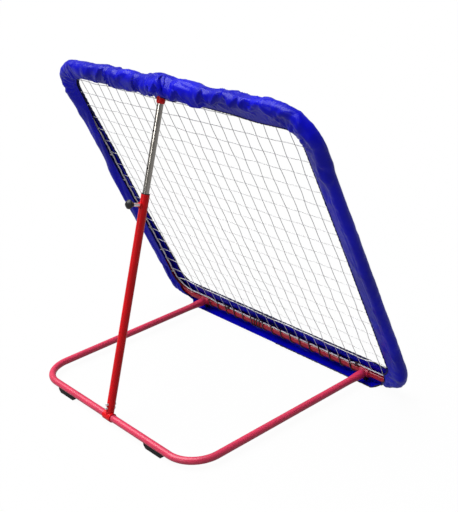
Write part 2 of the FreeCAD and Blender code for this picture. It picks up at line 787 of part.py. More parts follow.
def lacing_cord():
    """The dark cord wound round the bottom bar and the border rope."""
    half = value(ARM_X + " - sleeve_length / 2 - lacing_end_gap")
    tight = value("tight_start")
    pace, turns = value("tight_pitch"), int(value("tight_turns"))
    slack = tight - pace * turns
    stops = even(half, tight, value("lacing_pitch")) + even(tight, slack, pace)
    stops += even(slack, -half, value("lacing_pitch")) + [-half]
    low, top = -value("loop_low"), value(LOOP_TOP)
    tube = winding(spot(0, (low + top) / 2), Vector(1, 0, 0), Vector(0, 1, 0), Vector(0, 0, 1),
                   stops, value("loop_back"), (top - low) / 2, value("lacing_d"))
    place_shape(tube, "frame", "lacing_cord")


def lock_spring():
    low = value("collar_start + collar_length + spring_gap + spring_wire / 2")
    high = value("plunger_reach - plunger_cap - spring_gap - spring_wire / 2")
    radius = value("(stem_d + chamber_d) / 4")
    stops = even(low, high, (high - low) / value("spring_turns")) + [high]
    tube = winding(Vector(0, 0, value("pin_rise")), Vector(0, 1, 0), Vector(1, 0, 0),
                   Vector(0, 0, 1), stops, radius, radius, value("spring_wire"))
    place_shape(tube, "strut", "lock_spring")


# Strut

def through_bolts(prefix, axis, diameter, rises):
    """Bolts across the strut, along an axis of their own, and their dome nuts."""
    seat = "(strut_od / 2 + bolt_seat)"
    end = seat + " + nut_length"
    bolts, nuts, bores = [], [], []
    for rise in rises:
        bolts.append(rod(axis, diameter, "-" + seat, end, "0", rise))
        bolts.append(rod(axis, "bolt_head_d", "-%s - bolt_head" % seat, "-" + seat, "0", rise))
        nuts.append(rod(axis, "bolt_head_d", seat, end, "0", rise))
        dome = (end, "0", rise) if axis == "x" else ("0", end, rise)
        nuts.append(ball("nut_length", *dome))
        bores.append(rod(axis, diameter, "0", end, "0", rise))
    place(fused(*bolts), "strut", prefix + "_bolts")
    place(carved(fused(*nuts), *bores), "strut", prefix + "_nuts")


def cross_holes(axis, diameter, rises):
    wide = "(%s + 2 * bolt_gap)" % diameter
    return [rod(axis, wide, "-strut_od", "strut_od", "0", rise) for rise in rises]


FOOT_BOLTS = ["foot_bolt_low", "foot_bolt_high"]
TOP_BOLTS = [STUB_END + " + top_bolt_rise"]


def strut_foot_fitting():
    """The T that turns on the rear tube and holds the strut."""
    half = "fitting_length / 2"
    solid = fused(rod("x", "fitting_od", "-" + half, half), rod("z", "strut_od", "0", "stub_length"))
    bore = "(tube_od + 2 * turn_gap)"
    tools = [rod("x", bore, "-" + half, half), rod("z", STRUT_BORE, "swage_start", "stub_length")]
    place(carved(solid, *tools, *cross_holes("y", "foot_bolt_d", FOOT_BOLTS)),
          "strut", "strut_foot_fitting")


def strut_outer_tube():
    plug, plug_bore = "%s / 2" % SWAGE_OD, "%s / 2 - strut_wall" % SWAGE_OD
    body = turned("XZ_Plane", [(plug_bore, "swage_start"), (plug, "swage_start"),
                               (plug, "stub_length"), ("strut_od / 2", "stub_length"),
                               ("strut_od / 2", "strut_length"),
                               (STRUT_BORE + " / 2", "strut_length"),
                               (STRUT_BORE + " / 2", "stub_length + swage_cone"),
                               (plug_bore, "stub_length")])
    pin_hole = rod("y", "pin_d + 2 * pin_gap", "0", "strut_od", "0", "pin_rise")
    tube = carved(body, pin_hole, *cross_holes("y", "foot_bolt_d", FOOT_BOLTS))
    place(tube, "strut", "strut_outer_tube")


def guide_bush():
    bore, fit = "inner_od / 2 + slide_gap", STRUT_BORE + " / 2"
    low, flange = "strut_length - bush_length", "strut_length + bush_flange"
    body = turned("XZ_Plane", [(bore, low), (fit, low), (fit, "strut_length"),
                               ("strut_od / 2", "strut_length"), ("strut_od / 2", flange),
                               (bore, flange)])
    place(body, "strut", "guide_bush")


def strut_inner_tube():
    """The chrome tube, with the holes that the lock pin drops into."""
    top = "%s - inner_end_gap" % STRAP_FOOT
    tools = [rod("z", INNER_BORE, "inner_start", top)]
    for number in (-1, 0, 1, 2):
        rise = "pin_rise + %d * hole_pitch" % number
        tools.append(rod("y", "hole_d", "0", "inner_od", "0", rise))
    tools += cross_holes("x", "top_bolt_d", TOP_BOLTS)
    place(carved(rod("z", "inner_od", "inner_start", top), *tools), "strut", "strut_inner_tube")


def inner_end_plug():
    wide, fit = STRUT_BORE + " / 2 - slide_gap", INNER_BORE + " / 2"
    body = turned("XZ_Plane", [("0", "inner_start - plug_length"),
                               (wide, "inner_start - plug_length"), (wide, "inner_start"),
                               (fit, "inner_start"), (fit, "inner_start + plug_spigot"),
                               ("0", "inner_start + plug_spigot")])
    place(body, "strut", "inner_end_plug")


def oval(along, across, half):
    """A flat-sided bar across the strut, as wide as across and as high as along."""
    off, low, high = "(%s - %s)" % (across, along), "-" + half, half
    wide = "2 * (%s)" % along
    return fused(rod("x", wide, low, high, off, STRAP), rod("x", wide, low, high, "-" + off, STRAP),
                 block((low, high), ("-" + off, off),
                       ("%s - (%s)" % (STRAP, along), "%s + %s" % (STRAP, along))))


def top_fitting():
    """The stub on the inner tube and the strap round the top bar."""
    outside = oval("(strap_along + strap_wall)", "(strap_across + strap_wall)",
                   "(strap_width / 2)")
    inside = oval("strap_along", "strap_across", "(strap_width / 2)")
    rim = "(strut_od / 2 - top_stub_taper)"
    stub = turned("XZ_Plane", [("0", STUB_END), (rim, STUB_END),
                               ("strut_od / 2", STUB_END + " + 2 * top_stub_taper"),
                               ("strut_od / 2", STRAP), ("0", STRAP)])
    solid = fused(stub, outside)
    bore = rod("z", "inner_od", STUB_END, "%s - inner_end_gap" % STRAP_FOOT)
    place(carved(solid, inside, bore, *cross_holes("x", "top_bolt_d", TOP_BOLTS)),
          "strut", "top_fitting")


# Lock

def lock_boss():
    boss = rod("y", "boss_od", "0", "boss_reach", "0", "pin_rise")
    tube = rod("z", "strut_od", "pin_rise - boss_od", "pin_rise + boss_od")
    place(carved(boss, tube, rod("y", "plunger_od", "0", "boss_reach", "0", "pin_rise")),
          "strut", "lock_boss")


def plunger_sleeve():
    seat, cap = "strut_od / 2 + plunger_seat", "plunger_reach - plunger_cap"
    guide, stem = "pin_d / 2 + pin_gap", "stem_d / 2 + pin_gap"
    body = turned("XY_Plane", [(guide, seat), ("plunger_od / 2", seat),
                               ("plunger_od / 2", "plunger_reach"), (stem, "plunger_reach"),
                               (stem, cap), ("chamber_d / 2", cap),
                               ("chamber_d / 2", "plunger_guide"), (guide, "plunger_guide")],
                  "pin_rise")
    place(body, "strut", "plunger_sleeve")


def lock_pin():
    collar_end = "collar_start + collar_length"
    body = turned("XY_Plane", [("0", "pin_tip"), ("pin_d / 2", "pin_tip"),
                               ("pin_d / 2", "collar_start"), ("collar_d / 2", "collar_start"),
                               ("collar_d / 2", collar_end), ("stem_d / 2", collar_end),
                               ("stem_d / 2", "stem_end"), ("0", "stem_end")], "pin_rise")
    place(body, "strut", "lock_pin")


def lock_knob():
    start = "(plunger_reach + knob_gap)"
    end = "(%s + knob_length)" % start
    body = turned("XY_Plane", [("stem_d / 2", start), ("knob_neck_d / 2", start),
                               ("knob_neck_d / 2", start + " + knob_neck"),
                               ("knob_d / 2", start + " + knob_neck + knob_round"),
                               ("knob_d / 2", end + " - knob_round"),
                               ("knob_d / 2 - knob_round", end), ("0", end), ("0", "stem_end"),
                               ("stem_d / 2", "stem_end")], "pin_rise")
    place(body, "strut", "lock_knob")


def build():
    for side, sign in (("left", ""), ("right", "-")):
        base_tube(side, sign)
        hinge_sleeve(side, sign)
        rubber_foot(side, sign)
        front_foot(side, sign)
    frame_tube_lower()
    frame_tube_upper()
    frame_joint_screws()
    net_border_rope()
    net()
    net_ties()
    lacing_cord()
    cover_wrap()
    cover_bottom()
    cover_padding()
    strut_foot_fitting()
    through_bolts("foot", "y", "foot_bolt_d", FOOT_BOLTS)
    strut_outer_tube()
    guide_bush()
    strut_inner_tube()
    inner_end_plug()
    top_fitting()
    through_bolts("top", "x", "top_bolt_d", TOP_BOLTS)
    lock_boss()
    plunger_sleeve()
    lock_spring()
    lock_pin()
    lock_knob()


def check_and_write():
    """Stops if anything failed, and otherwise writes each piece to its file."""
    doc.recompute()
    for thing in doc.Objects:
        if "Invalid" in thing.State or "Error" in thing.State:
            raise RuntimeError("%s failed: %s" % (thing.Label, thing.State))
    os.makedirs("parts", exist_ok=True)
    for thing in nodes:
        shape = thing.Shape
        if shape.isNull() or not shape.isValid() or shape.Volume <= 0:
            raise RuntimeError("%s has no valid solid" % thing.Label)
    for thing in nodes:
        thing.Shape.exportStep("parts/%s.step" % thing.Label)
        box = thing.Shape.BoundBox
        print("%-20s solids %2d  volume %9.0f  x %5.0f %5.0f  y %5.0f %5.0f  z %5.0f %5.0f" % (
            thing.Label, len(thing.Shape.Solids), thing.Shape.Volume,
            box.XMin, box.XMax, box.YMin, box.YMax, box.ZMin, box.ZMax))


build()
check_and_write()
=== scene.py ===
"""Finishes, net, ropes and cover of a pitch back rebounder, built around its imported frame.

Metres. The net frame has its own coordinates: x along the bottom bar, up the net and to the rear
of the net, all from the bottom bar's axis. A section of the cover is drawn in two of them: inward
from the frame tube's axis, and to the rear.
"""
import json
import math
import random

import bmesh
import bpy
from bpy.props import FloatProperty, FloatVectorProperty, IntProperty, PointerProperty
from mathutils import Matrix, Vector, noise


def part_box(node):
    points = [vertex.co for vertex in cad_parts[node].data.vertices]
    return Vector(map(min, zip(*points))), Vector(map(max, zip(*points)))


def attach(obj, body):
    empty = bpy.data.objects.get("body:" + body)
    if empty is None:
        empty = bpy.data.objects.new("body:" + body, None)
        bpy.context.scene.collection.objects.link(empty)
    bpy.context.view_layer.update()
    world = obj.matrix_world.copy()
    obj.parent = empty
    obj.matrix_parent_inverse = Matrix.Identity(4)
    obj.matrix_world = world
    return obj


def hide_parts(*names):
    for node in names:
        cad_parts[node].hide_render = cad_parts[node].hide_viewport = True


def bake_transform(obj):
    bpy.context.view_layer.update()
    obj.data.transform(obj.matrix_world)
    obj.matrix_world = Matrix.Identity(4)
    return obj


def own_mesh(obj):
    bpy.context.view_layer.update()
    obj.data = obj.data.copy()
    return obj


bl_info = {
    "name": "Pitch Back Rebounder",
    "version": (1, 0, 0),
    "blender": (4, 5, 0),
    "location": "3D View > Sidebar > Rebounder",
    "description": "Dresses the rebounder's frame in its finishes, net, ropes and cover",
    "category": "Object",
}

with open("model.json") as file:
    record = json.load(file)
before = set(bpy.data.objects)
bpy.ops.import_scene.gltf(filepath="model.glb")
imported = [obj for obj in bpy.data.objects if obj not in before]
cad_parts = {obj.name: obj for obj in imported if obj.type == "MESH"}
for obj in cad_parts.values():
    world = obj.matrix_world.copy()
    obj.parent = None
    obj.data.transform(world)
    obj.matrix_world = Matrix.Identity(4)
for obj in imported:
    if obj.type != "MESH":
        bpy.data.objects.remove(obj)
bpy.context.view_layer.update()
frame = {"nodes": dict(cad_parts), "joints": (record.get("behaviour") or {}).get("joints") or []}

# What the frame gives
JOINTS = {joint["name"]: joint for joint in frame["joints"]}
HINGE = Vector(JOINTS["frame_tilt"]["pos_m"])
REAR_AXIS = Vector(JOINTS["strut_swing"]["pos_m"])
TUBE = 0.011
TOP_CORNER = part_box("frame_tube_upper")[1]
HALF = TOP_CORNER.x - TUBE
TOP_BAR = Vector((0, TOP_CORNER.y - TUBE - HINGE.y, TOP_CORNER.z - TUBE - HINGE.z))
HEIGHT = TOP_BAR.length
FRAME_UP = TOP_BAR.normalized()
FRAME_REAR = Vector((0, FRAME_UP.z, -FRAME_UP.y))
ALONG = Vector((1, 0, 0))
BEND = 0.100
FIRST_ROW = 0.065
ROW_RISE = 0.0496
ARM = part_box("hinge_sleeve_left")
ARM_X = (ARM[0].x + ARM[1].x) / 2
SLEEVE = (ARM[1].z - ARM[0].z) / 2


def placed(origin, rear, up, along=ALONG):
    """The matrix that puts a group's own coordinates in the object's."""
    turn = Matrix((along, rear, up)).transposed().to_4x4()
    turn.translation = origin
    return turn


FRAME = placed(HINGE, FRAME_REAR, FRAME_UP)


def on_frame(x, up, rear=0.0):
    return FRAME @ Vector((x, rear, up))


# Settings that a user would change

def a_length(name, description, default):
    return FloatProperty(name=name, description=description, unit="LENGTH", default=default)


def a_colour(name, description, default):
    return FloatVectorProperty(
        name=name, description=description, subtype="COLOR", default=default)


class TubeSettings(bpy.types.PropertyGroup):
    base_colour: a_colour("Base paint", "Colour of the floor base", (0.76, 0.036, 0.105))
    frame_colour: a_colour("Frame paint", "Colour of the net frame's tube", (0.50, 0.010, 0.034))
    strut_colour: a_colour("Strut paint", "Colour of the strut", (0.88, 0.004, 0.010))
    bead: a_length("Weld bead", "Radius of a weld bead", 0.0019)


class NetSettings(bpy.types.PropertyGroup):
    across: a_length("Mesh width", "Distance between upright strings", 0.0465)
    rise: a_length("Mesh height", "Distance between level strings", ROW_RISE)
    string: a_length("String", "Diameter of the net's string", 0.0020)
    rope: a_length("Border rope", "Diameter of the rope round the net", 0.0048)
    columns: IntProperty(
        name="Columns", description="Upright strings on each side of the middle one", default=10)
    rows: IntProperty(name="Rows", description="Level strings", default=19)


class LacingSettings(bpy.types.PropertyGroup):
    cord: a_length("Cord", "Diameter of the lacing cord", 0.004)
    pitch: a_length("Pitch", "Distance between turns along the bar", 0.045)
    tight_pitch: a_length(
        "Tight pitch", "Distance between the turns that lie close together", 0.013)


class CoverSettings(bpy.types.PropertyGroup):
    colour: a_colour("Cover", "Colour of the nylon", (0.002, 0.002, 0.70))
    edge_colour: a_colour("Edging", "Colour of the elastic edging", (0.004, 0.004, 0.035))
    cloth: a_length("Cloth", "Thickness of the nylon", 0.0008)
    edging: a_length("Edging size", "Diameter of the rolled elastic edging", 0.0044)
    frames: IntProperty(name="Frames", description="Frames the cloth settles for", default=18)


# Materials

class Flow:
    """A number on its way through a material: arithmetic on it adds Math nodes."""

    def __init__(self, finish, socket):
        self.finish = finish
        self.socket = socket

    def math(self, operation, first, second=0.0):
        return self.finish.node("ShaderNodeMath", {"operation": operation}, {0: first, 1: second})

    def __add__(self, other):
        return self.math("ADD", self, other)

    def __radd__(self, other):
        return self.math("ADD", other, self)

    def __sub__(self, other):
        return self.math("SUBTRACT", self, other)

    def __rsub__(self, other):
        return self.math("SUBTRACT", other, self)

    def __mul__(self, other):
        return self.math("MULTIPLY", self, other)

    def __rmul__(self, other):
        return self.math("MULTIPLY", other, self)

    def __gt__(self, other):
        return self.math("GREATER_THAN", self, other)

    def wave(self, cycles):
        """A sine of this value, from 0 to 1, with that many cycles per unit."""
        return 0.5 + 0.5 * self.math("SINE", self * (2 * math.pi * cycles))

    def at_least(self, other):
        return self.math("MAXIMUM", self, other)

    def ramp(self, low, high, start=0.0, end=1.0):
        """From start to end as this value goes from low to high, smooth at both ends."""
        settings = {"interpolation_type": "SMOOTHSTEP", "clamp": True}
        return self.finish.node("ShaderNodeMapRange", settings,
                                {0: self, 1: low, 2: high, 3: start, 4: end})


class Finish:
    """One material, made node by node."""

    def __init__(self, name):
        self.material = bpy.data.materials.new(name)
        self.material.use_nodes = True
        self.tree = self.material.node_tree
        self.shader = self.tree.nodes["Principled BSDF"]

    def feed(self, socket, value):
        if isinstance(value, Flow):
            self.tree.links.new(value.socket, socket)
        elif hasattr(value, "__len__") and len(value) == 3 and socket.type == "RGBA":
            socket.default_value = (*value, 1.0)
        else:
            socket.default_value = value

    def node(self, kind, settings=None, values=None, output=0):
        made = self.tree.nodes.new(kind)
        for name, value in (settings or {}).items():
            setattr(made, name, value)
        for name, value in (values or {}).items():
            self.feed(made.inputs[name], value)
        return Flow(self, made.outputs[output])

    def place(self, scale=(1, 1, 1), source="Object"):
        """Where a point lies: Object in metres, UV from the piece's own map."""
        spot = self.node("ShaderNodeTexCoord", output=source)
        return self.node("ShaderNodeMapping", {}, {"Vector": spot, "Scale": scale})

    def cloud(self, spot, scale, detail=2.0, rough=0.5):
        return self.node("ShaderNodeTexNoise", {},
                         {"Vector": spot, "Scale": scale, "Detail": detail, "Roughness": rough})

    def part(self, spot, axis):
        return self.node("ShaderNodeSeparateXYZ", {}, {0: spot}, output=axis)

    def mixed(self, factor, first, second):
        return self.node("ShaderNodeMix", {"data_type": "RGBA"},
                         {0: factor, 6: first, 7: second}, output=2)

    def bump(self, height, distance, strength):
        values = {"Height": height, "Distance": distance, "Strength": strength}
        return self.node("ShaderNodeBump", {}, values)

    def seen(self):
        """1 where the camera looks, less where metal mirrors it, 0 for what lights the object."""
        looks, mirrors, through = (
            self.node("ShaderNodeLightPath", output="Is %s Ray" % way)
            for way in ("Camera", "Glossy", "Transmission"))
        return (looks + through).at_least(mirrors * 0.3)

    def done(self, **values):
        """Sets the shader's sockets, named as in the editor with _ for a space."""
        for name, value in values.items():
            self.feed(self.shader.inputs[name.replace("_", " ")], value)
        return self.material


def tinted(colour, factor):
    return tuple(min(1.0, part * factor) for part in colour)


def gloss_paint(name, colour, roughness, specular):
    """Stoved gloss paint over steel tube, with a slight skin and a few rubbed places."""
    finish = Finish(name)
    spot = finish.place()
    cloudy = finish.cloud(spot, 14.0)
    skin = finish.cloud(spot, 420.0, 1.0)
    rubbed = finish.cloud(finish.place((1.0, 3.0, 3.0)), 30.0, 6.0, 0.7).ramp(0.66, 0.72)
    low = 1 - finish.part(spot, 2).ramp(0.004, 0.016)
    dust = low * finish.cloud(spot, 120.0, 4.0).ramp(0.42, 0.68)
    shade = finish.mixed(cloudy.ramp(0.3, 0.7), colour, tinted(colour, 0.86))
    worn = finish.mixed(rubbed * 0.30, shade, tinted(colour, 0.45))
    dusty = finish.mixed(dust * 0.35, worn, (0.30, 0.24, 0.22))
    return finish.done(
        Base_Color=dusty,
        Roughness=roughness + rubbed * 0.25 + dust * 0.3,
        Specular_IOR_Level=specular,
        Normal=finish.bump(skin + rubbed * 0.6, 0.00004, 0.4))


def chrome_plate(name):
    """Chromed tube with fine lengthwise draw marks and a few dull spots, its colour kept dark as a
    painted dark reflection.
    """
    finish = Finish(name)
    spot = finish.place()
    drawn = finish.cloud(finish.place((1.0, 0.06, 0.03)), 900.0, 2.0)
    dull = finish.cloud(spot, 55.0, 5.0, 0.65).ramp(0.55, 0.74)
    # Painted dark reflection: the colour is kept well below bare chrome in place of dark
    # surroundings to mirror; the browner patches are the dull spots
    shade = finish.mixed(dull * 0.6, (0.36, 0.34, 0.31), (0.22, 0.20, 0.17))
    return finish.done(
        Base_Color=shade,
        Metallic=1.0,
        Roughness=0.10 + drawn * 0.08 + dull * 0.22,
        Normal=finish.bump(drawn, 0.00003, 0.5))


def zinc_plate(name):
    """Bright zinc on small steel parts."""
    tone = 0.88
    finish = Finish(name)
    spot = finish.place()
    grain = finish.cloud(spot, 700.0, 3.0)
    stain = finish.cloud(spot, 160.0, 4.0).ramp(0.5, 0.75)
    shade = finish.mixed(stain * 0.5, (tone, tone, tone * 1.02),
                         (tone * 0.7, tone * 0.66, tone * 0.6))
    return finish.done(
        Base_Color=shade,
        Metallic=1.0,
        Roughness=0.22 + grain * 0.12 + stain * 0.15,
        Normal=finish.bump(grain, 0.00003, 0.5))


def rubber(name):
    """Moulded black rubber, dusty where it meets the floor."""
    finish = Finish(name)
    spot = finish.place()
    pores = finish.cloud(spot, 1300.0, 2.0)
    low = 1 - finish.part(spot, 2).ramp(0.0, 0.012)
    dust = low * finish.cloud(spot, 260.0, 4.0).ramp(0.4, 0.7)
    shade = finish.mixed(dust * 0.3, (0.008, 0.008, 0.010), (0.09, 0.08, 0.07))
    return finish.done(
        Base_Color=shade,
        Roughness=0.62 + pores * 0.2,
        Specular_IOR_Level=0.25,
        Normal=finish.bump(pores, 0.00012, 0.6))


def plastic(name, colour):
    """Moulded plastic with a fine spark texture and handling marks."""
    finish = Finish(name)
    spot = finish.place()
    spark = finish.cloud(spot, 1800.0, 2.0)
    handled = finish.cloud(spot, 90.0, 4.0).ramp(0.45, 0.7)
    shade = finish.mixed(handled * 0.5, colour, tinted(colour, 1.5))
    return finish.done(
        Base_Color=shade,
        Roughness=0.32 + handled * 0.18 + spark * 0.08,
        Normal=finish.bump(spark, 0.00005, 0.5))


def twisted_cord(name, light, dark, strands):
    """Laid cord: the strands run slantwise over the piece's own map, with painted shade in the
    grooves between them.
    """
    finish = Finish(name)
    lay = finish.place(source="UV")
    slant = finish.part(lay, 0) + finish.part(lay, 1) * strands
    strand = slant.wave(1.0)
    fibre = finish.cloud(finish.place(), 1500.0, 3.0)
    soil = finish.cloud(finish.place(), 25.0, 3.0).ramp(0.45, 0.75)
    # Painted shade: the colour darkens in the grooves between the strands and is lighter on their
    # crowns
    shade = finish.mixed(strand.ramp(0.0, 0.5), dark, light)
    soiled = finish.mixed(soil * 0.25, shade, dark)
    return finish.done(
        Base_Color=soiled,
        Roughness=0.78 + fibre * 0.12,
        Sheen_Weight=0.25,
        Normal=finish.bump(strand * 0.8 + fibre * 0.2, 0.0004, 0.7))


def nylon(name, colour, length, girth):
    """Coated nylon cloth: plain weave, crinkles, creases lightened as rubbed wear and as a painted
    highlight, and two stitched seams.
    """
    finish = Finish(name)
    flat = finish.place((length, girth, 1.0), "UV")
    along, around = finish.part(flat, 0), finish.part(flat, 1)
    weave = along.wave(900.0) * around.wave(900.0)
    spot = finish.place()
    crinkle = finish.cloud(spot, 75.0, 4.0, 0.62)
    creases = finish.cloud(spot, 240.0, 3.0, 0.7)
    wide = finish.cloud(spot, 9.0, 3.0)
    edge = around.math("MINIMUM", around, girth - around)
    off_seam = (edge - 0.009).math("ABSOLUTE", edge - 0.009)
    seam = 1 - off_seam.ramp(0.0006, 0.0016)
    stitch = seam * (along.wave(240.0) > 0.35)
    deep = finish.mixed(wide.ramp(0.35, 0.65), colour, tinted(colour, 0.72))
    # Lighter along the crease ridges: partly rubbed wear, partly a painted highlight on the creases
    rubbed = finish.mixed(creases.ramp(0.62, 0.8) * 0.25, deep, tinted(colour, 1.6))
    sewn = finish.mixed(stitch * 0.7, rubbed, tinted(colour, 0.25))
    height = crinkle * 1.0 + creases * 0.35 + weave * 0.03 - seam * 0.25 + stitch * 0.2
    return finish.done(
        Base_Color=sewn,
        Roughness=0.28 + crinkle * 0.10,
        Specular_IOR_Level=0.20,
        Normal=finish.bump(height, 0.0014, 0.5))


def elastic(name, colour):
    """Gathered elastic edging: fine ribs across the band, with painted shade in the grooves between
    them.
    """
    finish = Finish(name)
    lay = finish.place(source="UV")
    rib = finish.part(lay, 0).wave(1.0)
    fibre = finish.cloud(finish.place(), 1200.0, 2.0)
    # Painted shade: the rib crests are lighter than the grooves between them
    shade = finish.mixed(rib * 0.5, colour, tinted(colour, 3.0))
    return finish.done(
        Base_Color=shade,
        Roughness=0.7 + fibre * 0.15,
        Normal=finish.bump(rib * 0.7 + fibre * 0.3, 0.0006, 0.7))


def foam(name):
    """Blue foam pipe sleeve, with painted shade in the pits of its cells."""
    finish = Finish(name)
    cells = finish.node("ShaderNodeTexVoronoi", {}, {"Vector": finish.place(), "Scale": 600.0})
    # Painted shade: darker in the pits of the cells, where the bump is lowest
    shade = finish.mixed(cells.ramp(0.0, 0.6), (0.002, 0.002, 0.26), (0.004, 0.004, 0.40))
    return finish.done(
        Base_Color=shade,
        Roughness=0.85 + cells * 0.1,
        Normal=finish.bump(cells, 0.0004, 0.6))


# Meshes

def finished(bm, name, material, smooth=True, outward=True):
    """Turns a bmesh into a piece that sits at the origin."""
    if outward:
        bmesh.ops.recalc_face_normals(bm, faces=bm.faces)
    mesh = bpy.data.meshes.new(name)
    bm.to_mesh(mesh)
    bm.free()
    piece = bpy.data.objects.new(name, mesh)
    bpy.context.scene.collection.objects.link(piece)
    mesh.materials.append(material)
    if smooth:
        mesh.shade_smooth()
    return piece


def rolled_grid(bm, rows, columns, place, closed_rows=False, closed_columns=False, chart=None):
    """A grid of squares; place(row, column) says where a point goes, chart its map's first part."""
    uv = bm.loops.layers.uv.verify()
    made = bmesh.ops.create_grid(bm, x_segments=rows, y_segments=columns, size=0.5, calc_uvs=True)
    known = {}
    for vert in made["verts"]:
        row, column = round((vert.co.x + 0.5) * rows), round((vert.co.y + 0.5) * columns)
        known[vert] = (row, column)
    for face in {face for vert in made["verts"] for face in vert.link_faces}:
        for loop in face.loops:
            row, column = known[loop.vert]
            loop[uv].uv = (chart(row) if chart else row / rows, column / columns)
    for vert, (row, column) in known.items():
        vert.co = place(row % rows if closed_rows else row,
                        column % columns if closed_columns else column)
    if closed_rows or closed_columns:
        bmesh.ops.remove_doubles(bm, verts=made["verts"], dist=1e-7)
    return known


def tube_round(bm, line, radius, sides=6, closed=False, swell=None, lay=0.0):
    """A round tube along a line of points; swell(place, angle) scales its radius."""
    count = len(line)
    ways, sides_at = [], []
    for number in range(count):
        before = line[number - 1] if number or closed else line[0]
        after = line[(number + 1) % count] if number < count - 1 or closed else line[-1]
        ways.append((after - before).normalized())
    side = ways[0].orthogonal().normalized()
    for way in ways:
        side = (side - way * side.dot(way)).normalized()
        sides_at.append(side)
    twist = 0.0
    if closed:
        last = (side - ways[0] * side.dot(ways[0])).normalized()
        start = sides_at[0]
        twist = math.atan2(last.cross(start).dot(ways[0]), last.dot(start))

    def place(row, column):
        share = row / count
        angle = 2 * math.pi * column / sides + twist * share + lay * row
        away = radius * (swell(row, angle - lay * row) if swell else 1.0)
        here = sides_at[row % count]
        over = ways[row % count].cross(here)
        return line[row % count] + here * (away * math.cos(angle)) + over * (away * math.sin(angle))

    rows = count if closed else count - 1
    known = rolled_grid(bm, rows, sides, place, closed_rows=closed, closed_columns=True)
    if not closed:
        alive = [vert for vert in known if vert.is_valid]
        edges = (edge for vert in alive for edge in vert.link_edges)
        rim = dict.fromkeys(edge for edge in edges if edge.is_boundary)
        bmesh.ops.holes_fill(bm, edges=list(rim), sides=sides)


def belt(stops, count):
    """Points evenly along a strip pulled round its stops, each an inward, a rear and a radius."""
    points = []
    turn_in = None
    for (w1, n1, r1), (w2, n2, r2) in zip(stops, stops[1:]):
        reach = math.hypot(w2 - w1, n2 - n1)
        way = math.atan2(n2 - n1, w2 - w1) + math.asin(max(-1.0, min(1.0, (r2 - r1) / reach)))
        turn_out = way + math.pi / 2
        if turn_in is not None:
            while turn_out > turn_in:
                turn_out -= 2 * math.pi
            steps = max(1, round((turn_in - turn_out) / 0.08))
            for step in range(steps):
                angle = turn_in + (turn_out - turn_in) * step / steps
                points.append(Vector((w1 + r1 * math.cos(angle), n1 + r1 * math.sin(angle))))
        points.append(Vector((w1 + r1 * math.cos(turn_out), n1 + r1 * math.sin(turn_out))))
        points.append(Vector((w2 + r2 * math.cos(turn_out), n2 + r2 * math.sin(turn_out))))
        turn_in = turn_out
    return evenly(points, count)


def evenly(points, count):
    """The given line again as count points, spaced evenly along it."""
    reach = [0.0]
    for here, there in zip(points, points[1:]):
        reach.append(reach[-1] + (there - here).length)
    spaced, number = [], 0
    for step in range(count):
        at = reach[-1] * step / (count - 1)
        while number < len(points) - 2 and reach[number + 1] < at:
            number += 1
        span = reach[number + 1] - reach[number]
        share = (at - reach[number]) / span if span > 1e-12 else 0.0
        spaced.append(points[number].lerp(points[number + 1], min(1.0, share)))
    return spaced


def smooth(share):
    share = max(0.0, min(1.0, share))
    return share * share * (3 - 2 * share)


def coat(material, slot, *nodes):
    for node in nodes:
        piece = frame["nodes"][node]
        piece.data.materials.clear()
        piece.data.materials.append(material)


def stands_for(piece, body, slot, *nodes):
    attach(piece, body)
    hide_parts(*nodes)
    return piece


# The frame tube's line, once round from the middle of the bottom bar towards +X

def oblong(half, low, top, bend):
    """A rectangle with round corners as stretches: length, start, way and 1 for a bend.

    A bend's start is its centre, and its way is its first spoke.
    """
    level, rise, quarter = half - bend, top - low - 2 * bend, math.pi / 2 * bend
    return (
        (level, (0, low), (1, 0), 0), (quarter, (level, low + bend), (0, -1), 1),
        (rise, (half, low + bend), (0, 1), 0), (quarter, (level, top - bend), (1, 0), 1),
        (2 * level, (level, top), (-1, 0), 0), (quarter, (-level, top - bend), (0, 1), 1),
        (rise, (-half, top - bend), (0, -1), 0), (quarter, (-level, low + bend), (-1, 0), 1),
        (level, (-level, low), (1, 0), 0))


STRETCHES = oblong(HALF, 0, HEIGHT, BEND)
LEVEL, QUARTER, RISE = (stretch[0] for stretch in STRETCHES[:3])
LOOP = sum(stretch[0] for stretch in STRETCHES)


def on_stretch(distance):
    """The stretch of the tube's line at a distance round it, and how far into the stretch."""
    left = distance % LOOP
    for stretch in STRETCHES:
        if left <= stretch[0]:
            break
        left -= stretch[0]
    return stretch, left


def along_stretch(stretch, left, bend):
    """A place on a line with such bends, and the way inward from it."""
    start, way = Vector(stretch[1]), Vector(stretch[2])
    if not stretch[3]:
        return start + way * left, Vector((-way.y, way.x))
    spoke = Matrix.Rotation(left / bend, 2) @ way
    return start + spoke * bend, -spoke


def beside_tube(distance, inward, rear):
    middle, way = along_stretch(*on_stretch(distance), BEND)
    spot = middle + way * inward
    return on_frame(spot.x, spot.y, rear)


def left_side(up):
    return LEVEL + QUARTER + up - BEND


def top_side(x):
    return LEVEL + 2 * QUARTER + RISE + LEVEL - x


def right_side(up):
    return LOOP - left_side(up)


# Operators

